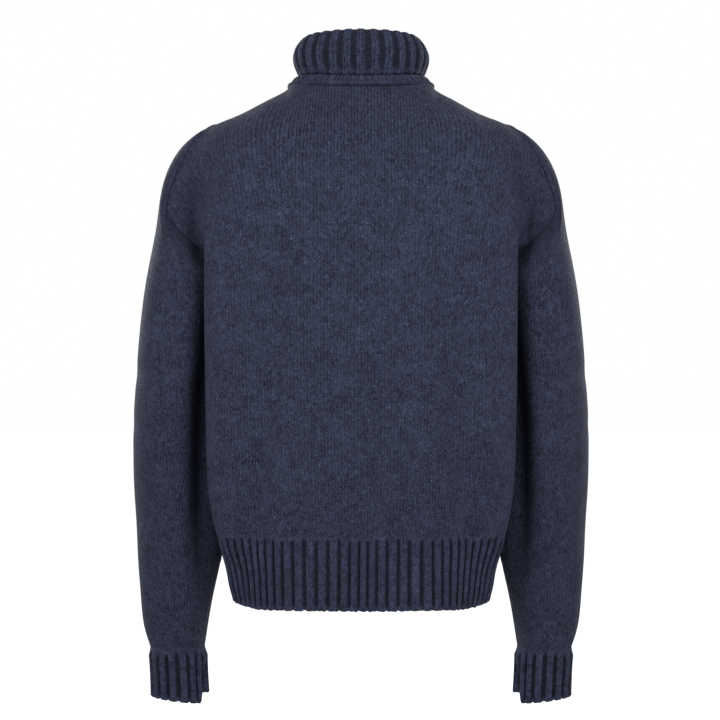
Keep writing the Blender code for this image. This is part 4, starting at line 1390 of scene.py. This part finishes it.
@dataclass
class Cuff:
    """A ribbed cuff whose seam is left open in a vent at its lower end."""

    side: Side
    ribs: int = 18
    columns_per_rib: int = 18
    rows: int = 34
    vent_back: tuple[float, float] = (172.0, -32.0)   # degrees at the top, and the change
    vent_front: tuple[float, float] = (177.0, 7.0)    # to the lower edge
    swell: float = 0.014             # this and the next three as on the hem
    notch: float = 0.009
    spread: float = 0.004
    edge_open: float = 0.5
    scallop: float = 0.0006          # how much lower the ribs end than the grooves
    scallop_height: float = 0.02
    step: float = 0.0095             # how much higher the front edge hangs beside the vent
    step_turn: float = 48.0          # degrees over which it comes down again
    lap: float = 0.0045              # how far the back edge stands out over the front one
    lap_turn: float = 26.0           # degrees over which it lies down again
    lap_by: float = 0.3              # share of the cuff's length over which it begins
    flat: tuple[float, float] = (0.225, 0.062)
    stitch: RibStitch = RibStitch(rise=0.0042, groove=0.40, slope=0.20, wales=3,
                                  jitter=0.14, stagger=0.004, seed=33)

    def build(self, form: WornForm, finish: bpy.types.Material) -> bpy.types.Object:
        """Runs the ribs down the tilted wrist rings; the vent's two edges cut them."""
        shares = np.linspace(0.0, 1.0, self.rows)
        place = np.linspace(0.0, 1.0, self.ribs * self.columns_per_rib + 1)
        start = self.vent_front[0] + self.vent_front[1] * shares
        end = 360.0 + self.vent_back[0] + self.vent_back[1] * shares
        turn = start[:, None] + place[None, :] * (end - start)[:, None]
        shape = form.pressed(rings(CUFF_RINGS, np.radians(turn), shares))
        shape[0, :, 2] = CUFF_TOP - SEAM_GAP / 2
        normals = level(grid_normals(shape, -1.0))

        from_top = run_length(shape, 0)
        from_edge = from_top[-1:] - from_top
        round_place = (turn - start[0]) / (end[0] - start[0])
        away, late = self.stitch.phase(self.ribs, round_place, shape[..., 2])
        at_edge = self.edge_open + (1 - self.edge_open) * ease(0.0, self.spread, from_edge)
        opened = ease(0.0, self.notch, from_top - late) * at_edge
        raised = self.stitch.raised(away, opened)
        outer, inner = self.stitch.wall(shape, normals, raised, ease(0.0, self.swell, from_top))
        lap = self.lap * np.exp(-((end[:, None] - turn) / self.lap_turn) ** 2)
        lap = lap * ease(0.0, self.lap_by, shares)[:, None]
        lap = lap[..., None] * np.array((0.0, 1.0, 0.0))
        outer, inner = outer + lap, inner + lap
        lower = shares[:, None] ** 2
        lift = self.step * lower * np.exp(-((turn - start[:, None]) / self.step_turn) ** 2)
        lift = lift - (1 - ease(0.0, self.scallop_height, from_edge)) * self.scallop * raised
        outer[..., 2] += lift
        inner[..., 2] += lift
        turned = np.array((self.side.value, 1.0, 1.0))
        along = self.stitch.along_cloth(round_place, self.ribs)
        shell = Shell(outer[::-1] * turned, inner[::-1] * turned, along[::-1],
                      from_edge[::-1], raised[::-1], lower_roll=1.0)
        piece = hang("cuff_" + self.side.name.lower(), shell, finish)
        return piece


@dataclass
class Collar:
    """The roll neck: a ribbed tube on the neckline, folded outward once."""

    ribs: int = 28
    columns_per_rib: int = 14
    base_rows: int = 30              # rows up to base_height, closer together there
    base_height: float = 0.015
    rows: int = 118
    fold_from: float = 0.52          # share of the line at which the ribs turn outward,
    turn_share: float = 0.12         # and over how much of it before that they do
    stand_until: tuple[float, float] = (0.30, 0.45)  # shares over which the stand ends
    fold_width: float = 0.12
    fold_relief: float = 0.15        # how much of the ribs' relief is left on the fold
    hidden_relief: float = 0.25      # and how much on the stand's hidden side
    tuck: tuple[float, float] = (0.0036, 0.0046)   # how far the linked edge is drawn
    tuck_height: float = 0.0040                    # out and down over the panels
    spread: float = 0.007            # the ribs' ends flare over this height,
    spread_open: float = 0.40        # where the grooves stay open by this share
    scallop: float = 0.0014          # how much lower a rib ends than a groove
    scallop_height: float = 0.012
    undercut: float = 0.0030         # how far the stand sinks under the turned-down edge
    undercut_at: float = 0.0190      # how far up the stand
    undercut_width: float = 0.006
    linking: float = 0.0030          # bead of loops where the tube is linked on
    linking_at: float = 0.0014
    linking_width: float = 0.0012
    linking_least: float = 0.35      # how high the bead is between two loops, as a share
    loops: int = 112
    shadow_at: float = 0.0019          # how far over the bead the painted shadow between its loops
    shadow_width: float = 0.0008       # lies, and how high it is
    shadow_line: float = 0.0010        # height of the painted shadow line under the bead
    crease: float = 0.55             # depth of the lines beside the stand's ribs, of the rise; they get painted shade too
    crease_at: float = 0.25          # where they lie, in periods from the groove's middle
    crease_width: float = 0.06
    crease_from: tuple[float, float] = (0.0026, 0.0040)   # the height at which they begin
    stand_rise: float = 0.5          # how far the stand's ribs rise, of the stitch's rise
    soft: Unevenness = Unevenness(seed=17, waves=14, longest=0.110, shortest=0.040,
                                  height=0.0010)
    soft_from: tuple[float, float] = (0.05, 0.30)    # shares over which it begins
    rib_shift: float = 0.5           # of a rib, so that one stands at the centre back
    lower_roll: float = 0.6          # how round the linked edge is, 1 for a half circle
    flat: tuple[float, float] = (0.500, 0.125)
    stitch: RibStitch = RibStitch(rise=0.0024, groove=0.46, slope=0.18, wales=4,
                                  jitter=0.08, stagger=0.0, seed=5)

    def line(self) -> tuple[np.ndarray, np.ndarray]:
        """Reads the fold's line finely: its rows of COLLAR_COLUMNS, and the way along it."""
        table = named(COLLAR_COLUMNS, COLLAR_LINE)
        knots = np.stack([table[name] for name in COLLAR_COLUMNS], axis=1)
        steps = np.linalg.norm(np.diff(knots[:, :2], axis=0), axis=1)
        walk = np.concatenate(((0.0,), np.cumsum(steps)))
        fall = np.concatenate((
            np.linspace(0.0, self.base_height, self.base_rows, endpoint=False),
            np.linspace(self.base_height, walk[-1], self.rows - self.base_rows)))
        return smooth_through(walk, knots, fall), fall[:, None]

    def middle(self, turn: np.ndarray) -> tuple[np.ndarray, np.ndarray, np.ndarray]:
        """Sweeps the fold's line round the neckline.

        Args:
            turn: Angles from the centre back, in radians.

        Returns:
            The middle of the cloth and its directions square to it, outward where it is
            turned down, in rows and columns, and how far along the line each row lies.
        """
        base, flat = neckline(turn)
        upright = np.array((0.0, 0.0, 1.0))
        line, fall = self.line()
        along = unit(np.gradient(line[:, :2], axis=0))
        across = np.stack((-along[:, 1], along[:, 0]), axis=1)
        tuck = np.exp(-(fall[:, 0] / self.tuck_height) ** 2)
        under = np.exp(-((fall[:, 0] - self.undercut_at) / self.undercut_width) ** 2)
        line[:, 1] -= self.tuck[1] * tuck + self.undercut * under
        reach, height, back_dip, side_dip = (line[:, k][:, None] for k in range(4))
        dip = back_dip * (0.5 + 0.5 * np.cos(turn)) + side_dip * np.sin(turn) ** 2
        drawn = self.tuck[0] * tuck[:, None] * np.cos(turn) ** 2
        middle = (base[None] + (reach + drawn)[..., None] * flat[None]
                  + (height - dip)[..., None] * upright)
        soft = self.soft.at(middle) * ease(*self.soft_from, fall / fall[-1])
        middle = middle + flat[None] * soft[..., None]
        square = across[:, 0, None, None] * flat[None] + across[:, 1, None, None] * upright
        square[0] = -flat
        return middle, square, fall

    def build(self, finish: bpy.types.Material) -> bpy.types.Object:
        """Lays the two faces' relief on the swept line, and hangs the piece.

        The cloth's face is inside the stand and outside the turned-down part. The outer
        grid carries the ribs; the inner grid has an even lift on the stand, sunk lines
        beside the ribs' places, and the bead of loops.
        """
        place = np.linspace(0.0, 1.0, self.ribs * self.columns_per_rib + 1)
        middle, square, fall = self.middle(place[:-1] * 2 * math.pi)
        shares, from_edge = fall / fall[-1], fall[-1] - fall
        turned_down = ease(self.fold_from - self.turn_share, self.fold_from, shares)
        stand = 1 - ease(*self.stand_until, shares)

        shifted = (place[None, :-1] + self.rib_shift / self.ribs) % 1.0
        away, _ = self.stitch.phase(self.ribs, shifted, fall)
        flared = 1 - ease(0.0, self.spread, from_edge)
        face = self.stitch.raised(away, 1 - (1 - self.spread_open) * flared)
        crest = (1 - self.fold_relief) * np.exp(-((shares - self.fold_from) / self.fold_width) ** 2)
        relief = self.hidden_relief + (1 - self.hidden_relief) * turned_down
        half = RIB_BASE / 2
        outer = middle + square * (
            half + self.stitch.rise * (crest + face * (1 - crest)) * relief)[..., None]

        loop = np.abs(np.sin(math.pi * self.loops * place[None, :-1]))
        chain = np.exp(-((fall - self.linking_at) / self.linking_width) ** 2)
        link = self.linking * (self.linking_least + (1 - self.linking_least) * loop) * chain
        crease = (np.exp(-((away - self.crease_at) / self.crease_width) ** 2) * stand
                  * ease(*self.crease_from, fall))
        reach = half + self.stitch.rise * (self.stand_rise * stand - self.crease * crease) + link
        inner = middle - square * reach[..., None]
        arch = self.scallop * (face - 0.5) * (1 - ease(0.0, self.scallop_height, from_edge))
        outer[..., 2] -= arch
        inner[..., 2] -= arch

        size = (self.rows, len(place))
        wale = np.broadcast_to(self.stitch.along_cloth(place, self.ribs), size)
        # painted shadow between the bead's loops and under the bead; with the creases it lowers the
        # stand's rib share, which the rib knit paints as shade
        over = (fall - self.linking_at - self.shadow_at) / self.shadow_width
        dark = np.maximum(np.exp(-over ** 2) * (1 - loop), 1 - ease(0.0, self.shadow_line, fall))
        stand_unshaded = (1 - crease) * (1 - dark)
        shown = face * turned_down + stand_unshaded * (1 - turned_down)
        shell = Shell(outer, inner, wale, np.broadcast_to(fall, size), shown, closed=True,
                      lower_roll=self.lower_roll, upper_roll=1.0)
        piece = hang("collar", shell, finish)
        return piece


# ---- the studio -----------------------------------------------------------------------
@dataclass(frozen=True)
class PaleFloor:
    """Matt white paper, lit evenly, so the floor runs out into the white room."""

    name: str = "white_paper_sweep"
    paper: str = "#c4c4c4"
    light: str = "#ffffff"
    glow: float = 0.47           # keeps the far paper as light as the room behind it
    tooth_waves: float = 330.0   # to the metre
    tooth: float = 0.0004        # its height, metres

    def material(self) -> bpy.types.Material:
        """Builds plain matt paper with a very faint tooth."""
        made = bpy.data.materials.new(self.name)
        made.use_nodes = True
        tree = made.node_tree
        tree.nodes.clear()
        place = add_node(tree, "TexCoord", None, None, "Object")
        tooth = noise(tree, place, self.tooth_waves, 2.0)
        bump = add_node(tree, "Bump", None, {
            "Strength": 0.1, "Distance": self.tooth, "Height": tooth})
        shader = add_node(tree, "BsdfPrincipled", None, {
            "Base Color": linear(self.paper), "Roughness": 0.9, "Normal": bump,
            "Emission Color": linear(self.light), "Emission Strength": self.glow})
        add_node(tree, "OutputMaterial", None, {"Surface": shader})
        return made


@dataclass(frozen=True)
class SoftLamp:
    """A square soft box aimed at a point: its place, its side and power."""

    name: str
    place: tuple[float, float, float]
    aim: tuple[float, float, float]
    side: float
    power: float
    spread: float = 62.0         # full angle of the beam, degrees

    def hang(self) -> bpy.types.Object:
        """Turns the lamp's -Z axis to its aim."""
        lamp = bpy.data.lights.new(self.name, "AREA")
        lamp.shape, lamp.size, lamp.energy = "SQUARE", self.side, self.power
        lamp.spread = math.radians(self.spread)
        made = bpy.data.objects.new(self.name, lamp)
        made.location = self.place
        toward = np.array(self.aim) - np.array(self.place)
        flat = math.hypot(toward[0], toward[1])
        made.rotation_euler = (math.pi / 2 + math.atan2(toward[2], flat), 0.0,
                               math.atan2(toward[1], toward[0]) - math.pi / 2)
        bpy.context.scene.collection.objects.link(made)
        return made


@dataclass
class Studio:
    """The camera behind the sweater, the pale floor under it and the soft light."""

    camera_place: tuple[float, float, float] = (0.0012, 3.1, -0.3264)
    frame_side: float = 0.864        # width seen at the sweater's middle plane
    sensor: float = 36.0
    floor_drop: float = 0.055        # from the cuffs to the floor
    floor_side: float = 30.0
    room: str = "#ffffff"
    room_light: float = 1.0
    lamps: tuple[SoftLamp, ...] = (
        SoftLamp("lamp_left", (0.92, 1.62, 0.20), (0.0, 0.0, -0.15), 0.7, 6.0),
        SoftLamp("lamp_right", (-0.92, 1.62, 0.20), (0.0, 0.0, -0.15), 0.7, 5.7),
        SoftLamp("lamp_front_left", (1.15, -1.55, 0.15), (0.0, 0.0, -0.18), 0.7, 8.0),
        SoftLamp("lamp_front_right", (-1.15, -1.55, 0.15), (0.0, 0.0, -0.18), 0.7, 6.8),
    )

    def camera(self) -> bpy.types.Object:
        """Sets the camera level at the sweater's back; its lens fits the frame's side."""
        lens = bpy.data.cameras.new("camera")
        lens.sensor_width = self.sensor
        lens.lens = self.sensor * self.camera_place[1] / self.frame_side
        made = bpy.data.objects.new("camera", lens)
        made.location = self.camera_place
        made.rotation_euler = (math.pi / 2, 0.0, math.pi)
        bpy.context.scene.collection.objects.link(made)
        bpy.context.scene.camera = made
        return made

    def build(self, lowest: float) -> None:
        """Makes the camera, the room's even light, the lamps and the floor.

        Args:
            lowest: The height of the sweater's lowest point.
        """
        self.camera()
        scene = bpy.context.scene
        scene.view_settings.view_transform = "Standard"
        world = bpy.data.worlds.new("white_room")
        world.use_nodes = True
        sky = world.node_tree.nodes["Background"]
        sky.inputs["Color"].default_value = linear(self.room)
        sky.inputs["Strength"].default_value = self.room_light
        scene.world = world
        for lamp in self.lamps:
            lamp.hang()
        half, height = self.floor_side / 2, lowest - self.floor_drop
        mesh = bpy.data.meshes.new("floor")
        mesh.from_pydata([(-half, -half, height), (half, -half, height), (half, half, height),
                          (-half, half, height)], [], [(0, 1, 2, 3)])
        mesh.materials.append(PaleFloor().material())
        floor = bpy.data.objects.new("floor", mesh)
        scene.collection.objects.link(floor)


# ---- the sweater ------------------------------------------------------------------------
# The photograph's soft folds. Left and right are nearly alike, so each is given once, on
# the wearer's left. The front's are like the back's, as the front is not seen.
FOLDS = (
    # the back's two broad troughs, steeper towards the centre
    Fold((0.094, 0.118, -0.235), (0.110, 0.112, -0.380), (0.124, 0.098, -0.535), 0.026, 0.0100,
         inner=0.55),
    # the deep fold beside the sleeve, on its sleeve side, and its hollow over the armpit
    Fold((0.186, 0.026, -0.225), (0.186, 0.018, -0.400), (0.190, 0.002, -0.585), 0.025, 0.0330,
         PushFrom.ARM),
    Fold((0.182, 0.084, -0.112), (0.187, 0.074, -0.152), (0.187, 0.052, -0.190), 0.024, 0.0260,
         PushFrom.ARM, inner=0.30),
    # the front's troughs and the pull from its armhole
    Fold((0.092, -0.128, -0.260), (0.098, -0.120, -0.380), (0.110, -0.105, -0.510), 0.024, 0.0070),
    Fold((0.130, -0.115, -0.150), (0.105, -0.125, -0.200), (0.075, -0.130, -0.250), 0.018, 0.0040),
    # creases across the sleeves: two behind the elbow, one over the cuff, two in its bend
    Fold((0.225, 0.055, -0.325), (0.250, 0.030, -0.338), (0.268, -0.010, -0.345), 0.010, 0.0036,
         PushFrom.ARM),
    Fold((0.215, 0.050, -0.400), (0.245, 0.032, -0.409), (0.270, -0.010, -0.405), 0.009, 0.0034,
         PushFrom.ARM),
    Fold((0.190, 0.030, -0.598), (0.228, 0.020, -0.612), (0.264, -0.010, -0.590), 0.009, 0.0034,
         PushFrom.ARM),
    Fold((0.250, -0.060, -0.370), (0.210, -0.085, -0.385), (0.165, -0.060, -0.400), 0.014, 0.0045,
         PushFrom.ARM),
    Fold((0.255, -0.050, -0.440), (0.212, -0.085, -0.450), (0.170, -0.060, -0.455), 0.013, 0.0040,
         PushFrom.ARM),
)


class Sweater:
    """The whole garment: plain cloth, hem, cuffs and collar, on one worn form."""

    def __init__(self) -> None:
        """Sets the worn form and the two finishes."""
        self.form = WornForm(folds=FOLDS)
        self.plain = PLAIN_KNIT.material()
        self.ribbed = RIB_KNIT.material()

    def build(self) -> list[bpy.types.Object]:
        """Builds every piece in the order in which it is sewn up.

        Returns:
            The pieces.
        """
        pieces = PlainCloth(self.form).build(self.plain)
        for half in Half:
            pieces.append(HemHalf(half).build(self.form, self.ribbed))
        for side in Side:
            pieces.append(Cuff(side).build(self.form, self.ribbed))
        pieces.append(Collar().build(self.ribbed))
        return pieces


def main() -> None:
    """Builds the studio and the sweater."""
    logging.basicConfig(level=logging.INFO, format="%(name)s: %(message)s")
    Studio().build(cad_box[0][2])
    pieces = Sweater().build()
    log.info("%d pieces", len(pieces))


if __name__ == "__main__":
    main()
